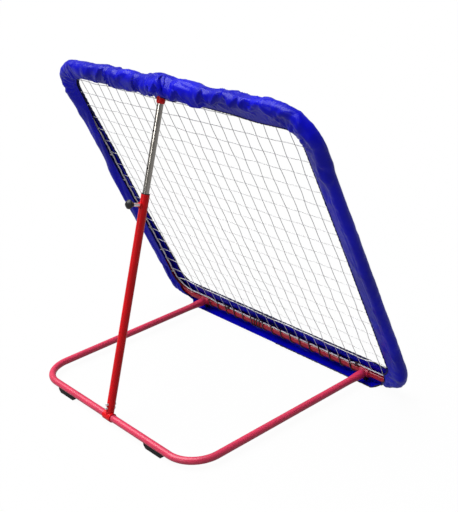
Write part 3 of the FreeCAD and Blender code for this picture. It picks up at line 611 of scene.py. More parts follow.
class REBOUNDER_OT_paint(bpy.types.Operator):
    """Paints the tubes, sleeves and fittings"""

    bl_idname = "rebounder.paint"
    bl_label = "Paint the tubes"

    def execute(self, context):
        tubes = context.scene.rebounder_tubes
        coat(gloss_paint("Base paint", tuple(tubes.base_colour), 0.34, 0.60), "base_paint",
             "base_tube_left", "base_tube_right", "hinge_sleeve_left", "hinge_sleeve_right")
        coat(gloss_paint("Frame paint", tuple(tubes.frame_colour), 0.20, 0.50), "frame_paint",
             "frame_tube_lower", "frame_tube_upper")
        coat(gloss_paint("Strut paint", tuple(tubes.strut_colour), 0.30, 0.22), "strut_paint",
             "strut_foot_fitting", "strut_outer_tube", "top_fitting", "lock_boss")
        return {"FINISHED"}


class REBOUNDER_OT_plate(bpy.types.Operator):
    """Plates the inner tube, bolts, pin and spring"""

    bl_idname = "rebounder.plate"
    bl_label = "Plate the steel"

    def execute(self, context):
        coat(chrome_plate("Chrome"), "chrome", "strut_inner_tube")
        coat(zinc_plate("Zinc"), "bright_steel", "foot_bolts", "foot_nuts", "top_bolts",
             "top_nuts", "frame_joint_screws", "plunger_sleeve", "lock_pin")
        wind_spring(bpy.data.materials["Zinc"])
        return {"FINISHED"}


def wind_spring(material):
    """The lock's spring, copied from the frame's piece and hung on the lower strut."""
    bm = bmesh.new()
    bm.from_mesh(frame["nodes"]["lock_spring"].data)
    bmesh.ops.remove_doubles(bm, verts=bm.verts, dist=1e-5)
    spring = finished(bm, "wound_spring", material)
    stands_for(spring, "strut_lower", "bright_steel", "lock_spring")
    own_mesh(spring)


def rounded(name, node, width, lowest, material, slim=1.0):
    """A CAD piece's shape, slimmed and with its edges rounded, cut off where it stands on cloth."""
    bm = bmesh.new()
    bm.from_mesh(frame["nodes"][node].data)
    bmesh.ops.remove_doubles(bm, verts=bm.verts, dist=1e-5)
    bmesh.ops.dissolve_limit(bm, angle_limit=math.radians(3), verts=bm.verts, edges=bm.edges)
    sharp = [edge for edge in bm.edges
             if len(edge.link_faces) == 2 and edge.calc_face_angle() > math.radians(35)]
    bmesh.ops.bevel(bm, geom=sharp, offset=width, segments=3, affect="EDGES", profile=0.5,
                    material=-1, clamp_overlap=True)
    low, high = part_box(node)
    middle = ((low.x + high.x) / 2, HINGE.y if low.y < 0 else REAR_AXIS.y)
    for vert in bm.verts:
        vert.co.x = middle[0] + (vert.co.x - middle[0]) * slim
        vert.co.y = middle[1] + (vert.co.y - middle[1]) * slim
        vert.co.z = max(vert.co.z, lowest)
    return finished(bm, name, material)


class REBOUNDER_OT_mould(bpy.types.Operator):
    """Moulds the rubber feet, the knob, the bush and the glide"""

    bl_idname = "rebounder.mould"
    bl_label = "Mould the rubber and plastic"

    def execute(self, context):
        black = rubber("Rubber")
        for kind, lowest, slim in (("rubber", 0.0, 0.96), ("front", 0.0021, 0.7)):
            for side in ("left", "right"):
                node = "%s_foot_%s" % (kind, side)
                foot = rounded(node + "_moulded", node, 0.0016, lowest, black, slim)
                stands_for(foot, "base", "black_rubber", node)
        coat(plastic("Black plastic", (0.005, 0.005, 0.007)), "black_plastic", "lock_knob",
             "guide_bush")
        coat(plastic("White plastic", (0.75, 0.75, 0.76)), "white_plastic", "inner_end_plug")
        return {"FINISHED"}


def welded_ring(small, big):
    """Where a round bar of one radius, along +Y, meets a round bar of another, along +X."""
    ring = []
    for step in range(72):
        angle = 2 * math.pi * step / 72
        across, up = small * math.cos(angle), small * math.sin(angle)
        ring.append(Vector((across, math.sqrt(big * big - up * up), up)))
    return ring


class REBOUNDER_OT_weld(bpy.types.Operator):
    """Lays the weld beads and the arms' flared ends at the sleeves"""

    bl_idname = "rebounder.weld"
    bl_label = "Lay the welds"

    def execute(self, context):
        tubes = context.scene.rebounder_tubes

        def ripple(row, angle):
            return 1.0 + 0.16 * math.sin(row * math.pi)

        def flare(row, angle):
            return 1.012 + 0.30 * smooth(1 - row / 23) * smooth((row + 0.6) / 5)

        arm_way = (REAR_AXIS - HINGE).normalized()
        down = ALONG.cross(arm_way)
        bm = bmesh.new()
        for sign in (-1, 1):
            place = placed(HINGE + ALONG * (sign * ARM_X), arm_way, down)
            line = [place @ spot for spot in welded_ring(TUBE, SLEEVE)]
            tube_round(bm, line, tubes.bead, 6, closed=True, swell=ripple)
            reach = [0.012 + 0.076 * number / 24 for number in range(25)]
            line = [place @ Vector((0, away, 0)) for away in reach]
            tube_round(bm, line, TUBE, 40, swell=flare)
        beads = finished(bm, "sleeve_welds", bpy.data.materials["Base paint"])
        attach(beads, "base")
        return {"FINISHED"}


class REBOUNDER_OT_net(bpy.types.Operator):
    """Ties the border rope, its loops and the knotted net"""

    bl_idname = "rebounder.net"
    bl_label = "Tie the net"

    def execute(self, context):
        net = context.scene.rebounder_net
        cord = twisted_cord("White cord", (1.0, 1.0, 1.0), (0.88, 0.88, 0.91), 300)
        ride_rope(net, cord)
        tie_loops(net, cord)
        knot_net(net, cord)
        return {"FINISHED"}


ROPE_INSET = 0.034
ROPE_OVER_SLEEVE = 0.021
ROPE_ON_BAR = 0.0142
SLEEVE_ROOM = 0.045
ROPE_HALF = HALF - ROPE_INSET
ROPE_TOP = HEIGHT - ROPE_INSET
ROPE_BEND = BEND - ROPE_INSET


def rope_height(x):
    """The border rope lies on the bar, and rises over the sleeves to the corners."""
    return ROPE_ON_BAR + (ROPE_OVER_SLEEVE - ROPE_ON_BAR) * smooth(
        (abs(x) - (ARM_X - SLEEVE_ROOM * 1.6)) / SLEEVE_ROOM)


def rope_line():
    """The border rope's middle, once round."""
    step = 0.004
    line = []
    for stretch in oblong(ROPE_HALF, ROPE_OVER_SLEEVE, ROPE_TOP, ROPE_BEND):
        count = round(stretch[0] / step)
        for number in range(count):
            spot, _ = along_stretch(stretch, stretch[0] * number / count, ROPE_BEND)
            if spot.y < ROPE_OVER_SLEEVE + 1e-6:
                spot.y = rope_height(spot.x)
            sway = 0.0016 * noise.noise(Vector((spot.x * 9, spot.y * 9, 4.0)))
            pull = 0.0
            if abs(spot.x) > ROPE_HALF - 0.002:
                pull = 0.0045 * abs(math.sin(math.pi * (spot.y - FIRST_ROW) / ROW_RISE)) - 0.0045
            line.append(on_frame(spot.x + math.copysign(pull, spot.x), spot.y + sway, sway))
    return line


def ride_rope(net, cord):
    bm = bmesh.new()

    def strands(row, angle):
        return 1.0 + 0.13 * math.cos(3 * angle)

    tube_round(bm, rope_line(), net.rope / 2, 12, closed=True, swell=strands, lay=0.42)
    rope = finished(bm, "border_rope", cord)
    stands_for(rope, "frame", "white_cord", "net_border_rope")


def tie_loops(net, cord):
    """Three turns of string round the tube and the rope at each tie."""
    string, pitch, turns = 0.0016, 0.110, 3
    stops = [(ROPE_INSET, 0.0, net.rope / 2 + string / 2), (0.0, 0.0, TUBE + string / 2)]
    ring = belt_once(stops, 40)
    places = []
    for number in range(int(RISE / pitch) + 1):
        places += [left_side(BEND + number * pitch), right_side(BEND + number * pitch)]
    for number in range(int(LEVEL / pitch + 0.5)):
        places += [top_side((number + 0.5) * pitch), top_side(-(number + 0.5) * pitch)]
    bm = bmesh.new()
    for place in places:
        line = []
        for step in range(len(ring) * turns):
            inward, rear = ring[step % len(ring)]
            along = place + (step / len(ring) - turns / 2) * string * 1.04
            line.append(beside_tube(along, inward, rear))
        tube_round(bm, line, string / 2, 5)
    ties = finished(bm, "rope_ties", cord)
    stands_for(ties, "frame", "white_cord", "net_ties")


def belt_once(stops, count):
    """A closed strip round two stops, without its last point, which is its first."""
    first, second = stops
    far = belt([first, second, first], 4 * count)
    near = belt([second, first, second], 4 * count)
    middle = (first[0] + second[0]) / 2
    outer = [spot for spot in far if spot.x <= middle]
    inner = [spot for spot in near if spot.x > middle]
    ring = evenly(outer + inner + outer[:1], count + 1)
    return ring[:-1]


def knot_net(net, cord):
    """The strings with a knot at each crossing, a little uneven, ending round the border rope."""
    random.seed(11)
    half, top, bend, low = ROPE_HALF, ROPE_TOP, ROPE_BEND, ROPE_OVER_SLEEVE

    def sagged(x, up):
        deep = 0.004 * math.cos(math.pi * x / (2 * half)) * math.sin(math.pi * up / top)
        return deep + 0.0018 * noise.noise(Vector((x * 14, up * 14, 1.0)))

    def off(x, up, seed):
        return 0.0042 * noise.noise(Vector((x * 21.3, up * 21.3, seed)))

    def edge_up(x, above):
        """Where an upright string meets the border rope."""
        over = abs(x) - (half - bend)
        drop = bend - math.sqrt(bend * bend - over * over) if over > 0 else 0.0
        if above:
            return top - drop
        return rope_height(x) + drop if over <= 0 else low + drop

    def edge_across(up):
        for centre, over in ((top - bend, up - (top - bend)), (low + bend, low + bend - up)):
            if over > 0:
                return half - bend + math.sqrt(max(0.0, bend * bend - over * over))
        return half

    columns = [net.across * number for number in range(-net.columns, net.columns + 1)]
    rows = [FIRST_ROW + net.rise * number for number in range(net.rows)]
    knots = {}
    for column, x in enumerate(columns):
        for row, up in enumerate(rows):
            across, rise = x + off(x, up, 0.3), up + off(x, up, 7.7)
            if row == 0:
                rise += 0.016 * smooth((abs(x) - 0.40) / 0.10)
            knots[column, row] = (across, rise)
    bm = bmesh.new()
    strings = []
    for column, x in enumerate(columns):
        places = [knots[column, row] for row in range(net.rows)]
        places = [(x, edge_up(x, False))] + places + [(x, edge_up(x, True))]
        strings.append(places)
    for row, up in enumerate(rows):
        places = [knots[column, row] for column in range(len(columns))]
        reach = edge_across(up)
        strings.append([(-reach, up)] + places + [(reach, up)])
    for number, places in enumerate(strings):
        line = []
        for (x1, up1), (x2, up2) in zip(places, places[1:]):
            for step in range(3):
                share = step / 3
                x, up = x1 + (x2 - x1) * share, up1 + (up2 - up1) * share
                sway = math.sin(number * 5.1 + x1 * 90 + up1 * 70)
                bow = 0.0012 * math.sin(math.pi * share) * sway
                line.append(on_frame(x + bow, up + bow, sagged(x, up)))
        line.append(on_frame(*places[-1], sagged(*places[-1])))
        stout = 1.7 if number == len(columns) else 1.0
        tube_round(bm, line, stout * net.string / 2, 5)
    size = net.string
    for (column, row), (x, up) in knots.items():
        tilt = random.uniform(-0.5, 0.5)
        turn = Matrix.Translation(on_frame(x, up, sagged(x, up))) @ FRAME.to_3x3().to_4x4()
        shape = Matrix.Diagonal((size * 1.05, size * 0.85, size * random.uniform(1.15, 1.45), 1.0))
        bmesh.ops.create_icosphere(
            bm, subdivisions=1, radius=1.0,
            matrix=turn @ Matrix.Rotation(tilt, 4, "Y") @ shape)
    strings = finished(bm, "knotted_net", cord)
    stands_for(strings, "frame", "white_cord", "net")


# Where the lacing's turns lie close together, and its knots: place and turns
TIGHT = (0.080, 0.131)
KNOTS = ((0.258, 3), (-0.355, 3))


class REBOUNDER_OT_lacing(bpy.types.Operator):
    """Winds the dark lacing cord round the bottom bar and the border rope"""

    bl_idname = "rebounder.lacing"
    bl_label = "Wind the lacing"

    def execute(self, context):
        lacing, rope = context.scene.rebounder_lacing, context.scene.rebounder_net.rope
        cord = twisted_cord("Dark cord", (0.075, 0.020, 0.026), (0.018, 0.006, 0.010), 400)
        radius = lacing.cord / 2
        around = 28
        ring = belt_once([(ROPE_ON_BAR, 0.0, rope / 2 + radius), (0.0, 0.0, TUBE + radius)], around)
        end = ARM_X - 0.026
        line = []
        along, step = -end, 0
        while along < end:
            inward, rear = ring[step % around]
            lift = (rope_height(along) - ROPE_ON_BAR) * smooth(inward / ROPE_ON_BAR)
            line.append(on_frame(along, inward + lift, rear))
            along += (lacing.tight_pitch if TIGHT[0] < along < TIGHT[1] else lacing.pitch) / around
            step += 1
        bm = bmesh.new()
        tube_round(bm, line, radius, 8)
        for x, turns in KNOTS:
            coil = []
            for step in range(turns * 12 + 1):
                angle = 2 * math.pi * step / 12
                reach = rope / 2 + radius * (0.9 + 0.5 * math.sin(math.pi * step / (turns * 12)))
                coil.append(on_frame(
                    x + (step / 12 - turns / 2) * lacing.cord * 0.8,
                    rope_height(x) + reach * math.cos(angle), reach * math.sin(angle)))
            tails = [on_frame(x - 0.006, rope_height(x) + 0.006, 0.003 + 0.004 * number)
                     for number in range(4)]
            tube_round(bm, coil + tails, radius * 0.85, 8)
        cords = finished(bm, "lacing", cord)
        stands_for(cords, "frame", "dark_cord", "lacing_cord")
        return {"FINISHED"}


class REBOUNDER_OT_cover(bpy.types.Operator):
    """Sews the cover, gathers it on its elastic edging and lets it settle"""

    bl_idname = "rebounder.cover"
    bl_label = "Sew the cover"

    def execute(self, context):
        cover = context.scene.rebounder_cover
        noise.seed_set(CRUMPLE)
        stations = cover_stations()
        sections = cover_sections(CLOTH_COLUMNS + 1)
        shape = [[beside_tube(place, *spot) for spot in puffed(place, section_at(sections, place))]
                 for place in stations]
        shape = settled(*sewn(stations, shape), shape, cover.frames)
        stations, shape = creased(stations, shape)
        nylon_cloth = nylon("Nylon", tuple(cover.colour), LOOP, GIRTH)
        first, last = skirt_rows(stations)
        sleeve = cut_out("cover_sleeve", nylon_cloth, stations, shape, first, last, cover)
        skirt = cut_out("cover_skirt", nylon_cloth, stations, shape,
                        last - len(stations) + 1, first, cover)
        edging = roll_edging(shape, cover)
        for piece, node, length in ((sleeve, "cover_wrap", LOOP - 2 * LEVEL),
                                    (skirt, "cover_bottom", 2 * LEVEL)):
            floor_blend(piece)
            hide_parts(node)
        floor_blend(edging)
        pad_tube()
        return {"FINISHED"}


# The number that starts the noise of the folds, the cloth's width and its columns, and how far
# outside the tube's axis it lies in the bends
CRUMPLE = 6
GIRTH = 0.172
CLOTH_COLUMNS = 26
CLOTH_OUT = 0.0160


def floor_blend(piece):
    """What lies on the floor stays there when the frame tilts."""
    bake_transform(piece)


def cover_stations():
    """Places of the cloth's rows round the frame, closer where it is gathered."""
    places = [0.0]
    while places[-1] < LOOP - 0.006:
        here = places[-1]
        if LEVEL < here < LEVEL + QUARTER or LOOP - LEVEL - QUARTER < here < LOOP - LEVEL:
            step = 0.0066
        elif here < LEVEL or here > LOOP - LEVEL:
            step = 0.0100
        elif left_side(HEIGHT - BEND - 0.03) <= here < right_side(HEIGHT - BEND - 0.03):
            step = 0.0054
        else:
            step = 0.0090
        places.append(here + step)
    scale = LOOP / places[-1]
    return [place * scale for place in places]


def skirt_rows(stations):
    """The rows where the bottom flap is sewn to the rest of the cover."""
    first = min(range(len(stations)), key=lambda row: abs(stations[row] - LEVEL))
    last = min(range(len(stations)), key=lambda row: abs(stations[row] - (LOOP - LEVEL)))
    return first, last


# How much longer the cloth is cut than the line round its outside, at places round the frame
FULLNESS = (
    (0.0, 1.02), (LEVEL - 0.03, 1.03), (LEVEL + QUARTER / 2, 1.07), (left_side(0.2), 1.04),
    (left_side(0.75), 1.045), (left_side(0.86), 1.05), (left_side(HEIGHT - 0.09), 1.075),
    (top_side(0.40), 1.08), (top_side(-0.34), 1.08), (right_side(0.95), 1.07),
    (right_side(0.70), 1.05), (right_side(0.20), 1.05), (LOOP - LEVEL - QUARTER / 2, 1.07),
    (LOOP - LEVEL + 0.03, 1.03), (LOOP, 1.02))


def read_off(plan, at):
    """The value at a place, from pairs of a place and a value with straight lines between."""
    for (start, low), (end, high) in zip(plan, plan[1:]):
        if at <= end:
            return low + (high - low) * (at - start) / (end - start)
    return plan[-1][1]


# Where the gathered cloth hangs over along the top: x, and how far down to the rear hem. It
# bulges by HANG, drops within DROP, ends at HANG_END, and parts at CREST to its two sides.
OVERHANG = (
    (-0.460, 0.18), (-0.400, 0.20), (-0.352, 0.13), (-0.341, 0.32), (-0.330, 0.12), (-0.300, 0.38),
    (-0.262, 0.06), (-0.214, 0.58), (-0.185, 0.12), (-0.154, 0.82), (-0.090, 0.34),
    (-0.054, 0.66), (-0.010, 0.50), (0.025, 0.88), (0.042, 0.60), (0.060, 0.85), (0.102, 0.95),
    (0.120, 0.08), (0.136, 0.90), (0.200, 0.95), (0.228, 0.95), (0.236, 0.70), (0.262, 0.95),
    (0.272, 0.14), (0.290, 0.22), (0.339, 0.82), (0.372, 0.45), (0.400, 0.62), (0.460, 0.45))
HANG = 0.0130
DROP = 0.12
HANG_END = 0.46
CREST = 0.46
FRONT_SHIFT = 0.045


def hang_lift(x, share):
    """How far the cloth bulges before it drops below its overhang."""
    if abs(x) >= HANG_END:
        return 0.0
    rear = share > CREST
    down = (share - CREST) / (1 - CREST) if rear else (CREST - share) / CREST
    at = x + (0.0 if rear else FRONT_SHIFT) + 0.010 * (down - 0.4)
    at = max(0.0001 - HANG_END, min(HANG_END, at))
    brink = read_off(OVERHANG, at)
    high = HANG * min(1.0, 0.35 + 1.3 * brink) * smooth((HANG_END - abs(x)) / 0.06)
    high *= smooth((1 - down) / 0.30)
    if down < brink:
        return high * (down / brink) ** 1.2
    return high * max(0.0, 1 - (down - brink) / DROP)


def pleat_lift(place, share):
    """Radial pleats at the top corners, deepest near the hems."""
    best = 0.0
    for start, pleats in ((left_side(HEIGHT - BEND) - 0.02, 9), (top_side(-LEVEL) - 0.02, 10)):
        part = (place - start) / (QUARTER + 0.04)
        if 0 < part < 1:
            wander = 0.25 * noise.noise(Vector((place * 40, share * 3, 2.0)))
            ripple = abs(((part * pleats + wander) % 1.0) * 2 - 1)
            inner = abs(share - 0.5) * 2
            best = 0.0046 * ripple * smooth(inner / 0.8) * math.sin(math.pi * part) ** 0.5
    return best


def seed_lift(place, share, full):
    """Slight unevenness from which the gathered cloth buckles."""
    spot = Vector((place * 34 + share * 2.5, share * 5.0, 8.0))
    spot += noise.noise_vector(spot * 0.6) * 0.6
    return 0.010 * full * (0.45 - abs(noise.noise(spot)))


def puffed(place, section):
    """A section of the cover pushed out by the pleats that cross it."""
    count = len(section)
    full = read_off(FULLNESS, place) - 1.0
    moved = []
    for number, spot in enumerate(section):
        share = number / (count - 1)
        lift = pleat_lift(place, share) + seed_lift(place, share, full)
        room = min(1.0, 6 * share, 6 * (1 - share))
        ahead = section[min(number + 1, count - 1)] - section[max(number - 1, 0)]
        ahead.normalize()
        moved.append(spot + Vector((-ahead.y, ahead.x)) * (lift * room))
    return moved


def halved(line):
    """The line with a point put between each two, on a smooth curve through them."""
    last = len(line) - 1
    made = []
    for number in range(last):
        here, there = line[number], line[number + 1]
        before = line[number - 1] if number else here
        after = line[number + 2] if number + 2 <= last else there
        made += [here, (here + there) * 0.5625 - (before + after) * 0.0625]
    return made + [line[-1]]


def facet(across, down, seed):
    """A height on a crumpled sheet whose cells of size 1 are two flat facets each."""
    column, row = math.floor(across), math.floor(down)
    a, b = across - column, down - row
    low, over, up, far = (2 * noise.noise(Vector(((column + i) * 1.37, (row + j) * 2.11, seed)))
                          for i, j in ((0, 0), (1, 0), (0, 1), (1, 1)))
    if (column + row) % 2:
        if a + b < 1:
            return low + a * (over - low) + b * (up - low)
        return far + (1 - a) * (up - far) + (1 - b) * (over - far)
    if a > b:
        return low + a * (over - low) + b * (far - over)
    return low + b * (up - low) + a * (far - up)


def crumple(place, down):
    """How far the crumpled cloth stands off, in parts of its greatest height."""
    bend = noise.noise_vector(Vector((place * 11, down * 11, 2.0)))
    across, below = place + 0.014 * bend.x + 0.4 * down, down + 0.012 * bend.y
    big = facet(across / 0.048, below / 0.040, 7.7)
    small = facet((across - 0.9 * below) / 0.020, below / 0.024, 3.1)
    return big + 0.42 * small


TIE_ROOM = 0.0030  # how far the front half stands off over the ties
FOLD = 0.0086  # the height of the largest facets where the cloth is fullest


def creased(stations, shape):
    """The cloth with twice as many rows and columns, hung over and crumpled into flat facets."""
    wide = [halved(row) for row in shape]
    columns = [halved(list(column)) for column in zip(*wide)]
    fine = [list(row) for row in zip(*columns)]
    places = []
    for here, there in zip(stations, stations[1:]):
        places += [here, (here + there) / 2]
    places.append(stations[-1])
    across = 2 * CLOTH_COLUMNS
    rows = len(fine)
    made = []
    for number, row in enumerate(fine):
        place = places[number]
        ahead, behind = fine[(number + 1) % rows], fine[number - 1]
        full = 0.12 + min(0.88, max(0.0, read_off(FULLNESS, place) - 1.04) * 22)
        x = LEVEL + LEVEL + 2 * QUARTER + RISE - place
        line = []
        for column, spot in enumerate(row):
            room = min(1.0, column / 6, (across - column) / 6)
            if room > 0:
                over = row[min(column + 1, across)] - row[max(column - 1, 0)]
                normal = over.cross(ahead[column] - behind[column]).normalized()
                fan = 1 + math.sin(place * 640 + 2.6 * math.sin(place * 91) + column * 0.05)
                hem = smooth(abs(column / across - 0.5) * 4 - 1)
                rear = 0.60 + 0.40 * smooth(column / across * 4 - 1.6)
                crush = crumple(place, column / across * GIRTH)
                lift = FOLD * full * rear * max(crush + 0.30, 0.0) + 0.0006 * hem * fan
                lift += hang_lift(x, column / across)
                lift += TIE_ROOM * smooth(column / across * 12) * smooth(4 - column / across * 12)
                spot = spot + normal * (lift * room)
            line.append(spot)
        made.append(line)
    made[-1] = list(made[0])
    return places, made


def sewn(stations, shape):
    """The cloth as sewn on: a mesh in the given shape, with the flat cut as its rest shape."""
    rows = len(stations) - 1
    bm = bmesh.new()
    made = rolled_grid(bm, rows, CLOTH_COLUMNS, lambda row, column: shape[row][column])
    bm.verts.index_update()
    order = [made[vert] for vert in bm.verts]
    loose = finished(bm, "cloth_on_the_frame", bpy.data.materials["Base paint"], outward=False)
    reach = [0.0]
    for here, there in zip(stations, stations[1:]):
        middle = (here + there) / 2
        bent = on_stretch(middle)[0][3]
        longer = 1 + (CLOTH_OUT / BEND if bent else 0.0)
        reach.append(reach[-1] + (there - here) * longer * read_off(FULLNESS, middle))
    loose.shape_key_add(name="On the frame")
    cut = loose.shape_key_add(name="Cut")
    for number, (row, column) in enumerate(order):
        girth = sum((shape[row][step + 1] - shape[row][step]).length
                    for step in range(CLOTH_COLUMNS))
        ease = 1.0 + 0.35 * (read_off(FULLNESS, stations[row]) - 1.0)
        cut.data[number].co = (reach[row], girth * ease * (column / CLOTH_COLUMNS - 0.5), 0.0)
    hems = loose.vertex_groups.new(name="Hems")
    hems.add([number for number, (row, column) in enumerate(order)
              if column in (0, CLOTH_COLUMNS) or row in (0, rows)], 1.0, "REPLACE")
    return loose, order


def settled(loose, order, shape, frames):
    """Where the cloth comes to rest on the padded tube, held by its hems."""
    padding = cloth_stop()
    cloth = loose.modifiers.new("Cloth", "CLOTH")
    settings = cloth.settings
    settings.quality = 6
    settings.mass = 0.12
    settings.air_damping = 1.0
    settings.bending_model = "ANGULAR"
    for strain, stiffness, damping in (("tension", 30.0, 3.0), ("compression", 30.0, 3.0),
                                       ("shear", 12.0, 2.0), ("bending", 0.03, 0.2)):
        setattr(settings, strain + "_stiffness", stiffness)
        setattr(settings, strain + "_damping", damping)
    settings.vertex_group_mass = "Hems"
    settings.rest_shape_key = loose.data.shape_keys.key_blocks["Cut"]
    settings.effector_weights.gravity = 0.35
    cloth.collision_settings.distance_min = 0.0012
    cloth.collision_settings.collision_quality = 2
    cloth.point_cache.frame_end = frames
    scene = bpy.context.scene
    for number in range(1, frames + 1):
        scene.frame_set(number)
    result = loose.evaluated_get(bpy.context.evaluated_depsgraph_get())
    far, lowest = 0.010, 0.0011  # the longest way the cloth may go, and its height over the floor
    rest = [list(line) for line in shape]
    for vert, (row, column) in zip(result.data.vertices, order):
        shift = vert.co - shape[row][column]
        shift *= min(1.0, far / max(shift.length, 1e-9))
        spot = shape[row][column] + shift
        spot.z = max(spot.z, lowest)
        rest[row][column] = spot
    scene.frame_set(1)
    bpy.data.objects.remove(loose)
    bpy.data.objects.remove(padding)
    return rest


def cloth_stop():
    """The padded tube that the cloth lies on, stouter at the strap."""
    count = 500
    line = [beside_tube(LOOP * number / count, 0, 0) for number in range(count)]
    strap = top_side(0.0)

    def stout(row, angle):
        return 1.0 + 0.84 * math.exp(-((LOOP * row / count - strap) / 0.036) ** 4)

    bm = bmesh.new()
    tube_round(bm, line, 0.0142, 14, closed=True, swell=stout)
    stop = finished(bm, "cloth_stop", bpy.data.materials["Base paint"])
    stop.modifiers.new("Collision", "COLLISION")
    stop.collision.thickness_outer = 0.001
    stop.collision.cloth_friction = 8.0
    return stop


def cut_out(name, material, stations, shape, first, last, cover):
    """A piece of the cover between two of its rows; a negative row is before the start."""
    around = len(stations) - 1
    rows = [row % around for row in range(first, last + 1)]
    bm = bmesh.new()
    rolled_grid(bm, len(rows) - 1, len(shape[0]) - 1,
                lambda row, column: shape[rows[row]][column],
                chart=lambda row: (stations[rows[row]] + (LOOP if first + row >= around else 0.0)
                                   - (LOOP if first + row < 0 else 0.0)) / LOOP)
    piece = finished(bm, name, material)
    thick = piece.modifiers.new("Cloth", "SOLIDIFY")
    thick.thickness = cover.cloth
    thick.offset = 0.0
    return piece


ABOVE_FLOOR = 0.0003  # where the edging's lowest points stay


def roll_edging(shape, cover):
    """The rolled elastic along both hems, puckered where the cloth is gathered on it."""
    material = elastic("Elastic edging", tuple(cover.edge_colour))
    bm = bmesh.new()
    for column in (0, len(shape[0]) - 1):
        line = [row[column] for row in shape[:-1]]

        def pucker(row, angle):
            slim = (0.28 if column else 1.35) if row < 0.42 * len(line) else 1.0
            return slim * (1.0 + 0.26 * math.sin(row * 1.9 + 2.2 * math.sin(row * 0.37))
                           + 0.22 * noise.noise(Vector((row * 0.35, angle, column))))

        tube_round(bm, line, cover.edging / 2, 6, closed=True, swell=pucker)
    for vert in bm.verts:
        vert.co.z = max(vert.co.z, ABOVE_FLOOR)
    return finished(bm, "cover_edging", material)


def pad_tube():
    """The foam sleeve under the cover, from one lower corner over the top to the other."""
    foam_skin = foam("Foam")
    bm = bmesh.new()
    spans = ((left_side(0.150), top_side(0.078)), (top_side(-0.078), right_side(0.06)))
    for start, end in spans:
        count = round((end - start) / 0.012)
        line = [beside_tube(start + (end - start) * number / count, 0, 0)
                for number in range(count + 1)]
        tube_round(bm, line, 0.0136, 16,
                   swell=lambda row, angle: 1.0 + 0.02 * noise.noise(Vector((row, angle, 5.0))))
    pad = finished(bm, "foam_sleeve", foam_skin)
    stands_for(pad, "frame", "cover_liner", "cover_padding")


# The cover's outline at places round the frame: its front edge inward and to the rear, the rear
# place and the radius of its roll, and its rear edge inward and to the rear
OUTLINES = (
    (LEVEL + 0.006, 0.062, -0.0060, 0, 0.0190, -0.0130, 0.0150),
    (LEVEL + 0.044, 0.060, -0.0100, 0, 0.0175, 0.0080, 0.0176),
    (LEVEL + 0.082, 0.058, -0.0120, 0, 0.0162, 0.0250, 0.0115),
    (left_side(0.150), 0.056, -0.0130, 0, 0.0150, 0.0290, 0.0085),
    (left_side(0.250), 0.054, -0.0110, 0, 0.0168, 0.0300, 0.0085),
    (left_side(0.350), 0.052, -0.0080, 0, 0.0200, 0.0310, 0.0080),
    (left_side(0.450), 0.050, -0.0050, 0, 0.0212, 0.0310, 0.0080),
    (left_side(0.550), 0.050, -0.0050, 0, 0.0220, 0.0300, 0.0085),
    (left_side(0.650), 0.050, -0.0075, -0.0020, 0.0172, 0.0300, 0.0085),
    (left_side(0.750), 0.050, -0.0055, -0.0020, 0.0174, 0.0350, 0.0060),
    (left_side(0.850), 0.048, -0.0030, 0, 0.0182, 0.0450, 0.0020),
    (top_side(0.40), 0.047, -0.003, 0, 0.0164, 0.046, 0.0040),
    (top_side(0.20), 0.047, -0.003, 0, 0.0166, 0.043, 0.0050),
    (top_side(0.10), 0.046, -0.003, 0, 0.0180, 0.042, 0.0045),
    (top_side(0.056), 0.046, -0.003, 0, 0.0215, 0.041, 0.0080),
    (top_side(0.036), 0.046, -0.003, 0, 0.0262, 0.037, 0.0215),
    (top_side(0.019), 0.046, -0.003, 0, 0.0268, 0.025, 0.0325),
    (top_side(0.008), 0.046, -0.003, 0, 0.0268, 0.019, 0.0330),
    (top_side(-0.012), 0.046, -0.003, 0, 0.0268, 0.018, 0.0325),
    (top_side(-0.030), 0.046, -0.003, 0, 0.0262, 0.036, 0.0200),
    (top_side(-0.056), 0.046, -0.003, 0, 0.0215, 0.041, 0.0080),
    (top_side(-0.15), 0.046, -0.003, 0, 0.0172, 0.046, 0.0040),
    (top_side(-0.25), 0.047, -0.003, 0, 0.0160, 0.047, 0.0050),
    (top_side(-0.37), 0.050, -0.001, 0.002, 0.0160, 0.054, 0.0060),
    (right_side(0.85), 0.050, -0.002, 0, 0.0158, 0.052, 0.0030),
    (right_side(0.60), 0.050, -0.003, 0, 0.0154, 0.050, 0.0040),
    (right_side(0.30), 0.050, -0.003, 0, 0.0156, 0.052, 0.0040),
    (LOOP - LEVEL - 0.060, 0.052, -0.004, 0, 0.0172, 0.042, 0.0140),
    (LOOP - LEVEL - 0.020, 0.058, -0.004, 0, 0.0180, 0.012, 0.0180),
    (LOOP - LEVEL + 0.004, 0.062, -0.004, 0, 0.0195, -0.0150, 0.0145),
)


def floor_spot(behind, above):
    """A place behind the bottom bar's axis and above the floor, as inward and rear."""
    offset = Vector((0, behind, above - HINGE.z))
    return offset.dot(FRAME_UP), offset.dot(FRAME_REAR)


def cover_sections(count):
    """The cover's shape at chosen places round the frame, from its front edge to its rear edge."""
    toe, heel = floor_spot(-0.009, 0.0045), floor_spot(0.026, 0.0012)
    bottom = [(0.068, -0.0025, 0), (0, 0, 0.0201), (*toe, 0.003), (*heel, 0)]
    plans = [(0.0, bottom), (LEVEL - 0.020, bottom)]
    plans += [(place, [(front, ahead, 0), (0, middle, roll), (hem, behind, 0)])
              for place, front, ahead, middle, roll, hem, behind in OUTLINES]
    plans += [(LOOP - LEVEL + 0.026, bottom), (LOOP, bottom)]
    return [(place, belt(stops, count)) for place, stops in plans]


def section_at(sections, distance):
    for (start, before), (end, after) in zip(sections, sections[1:]):
        if distance <= end:
            share = smooth((distance - start) / (end - start))
            return [here.lerp(there, share) for here, there in zip(before, after)]
    return sections[-1][1]


# Stage

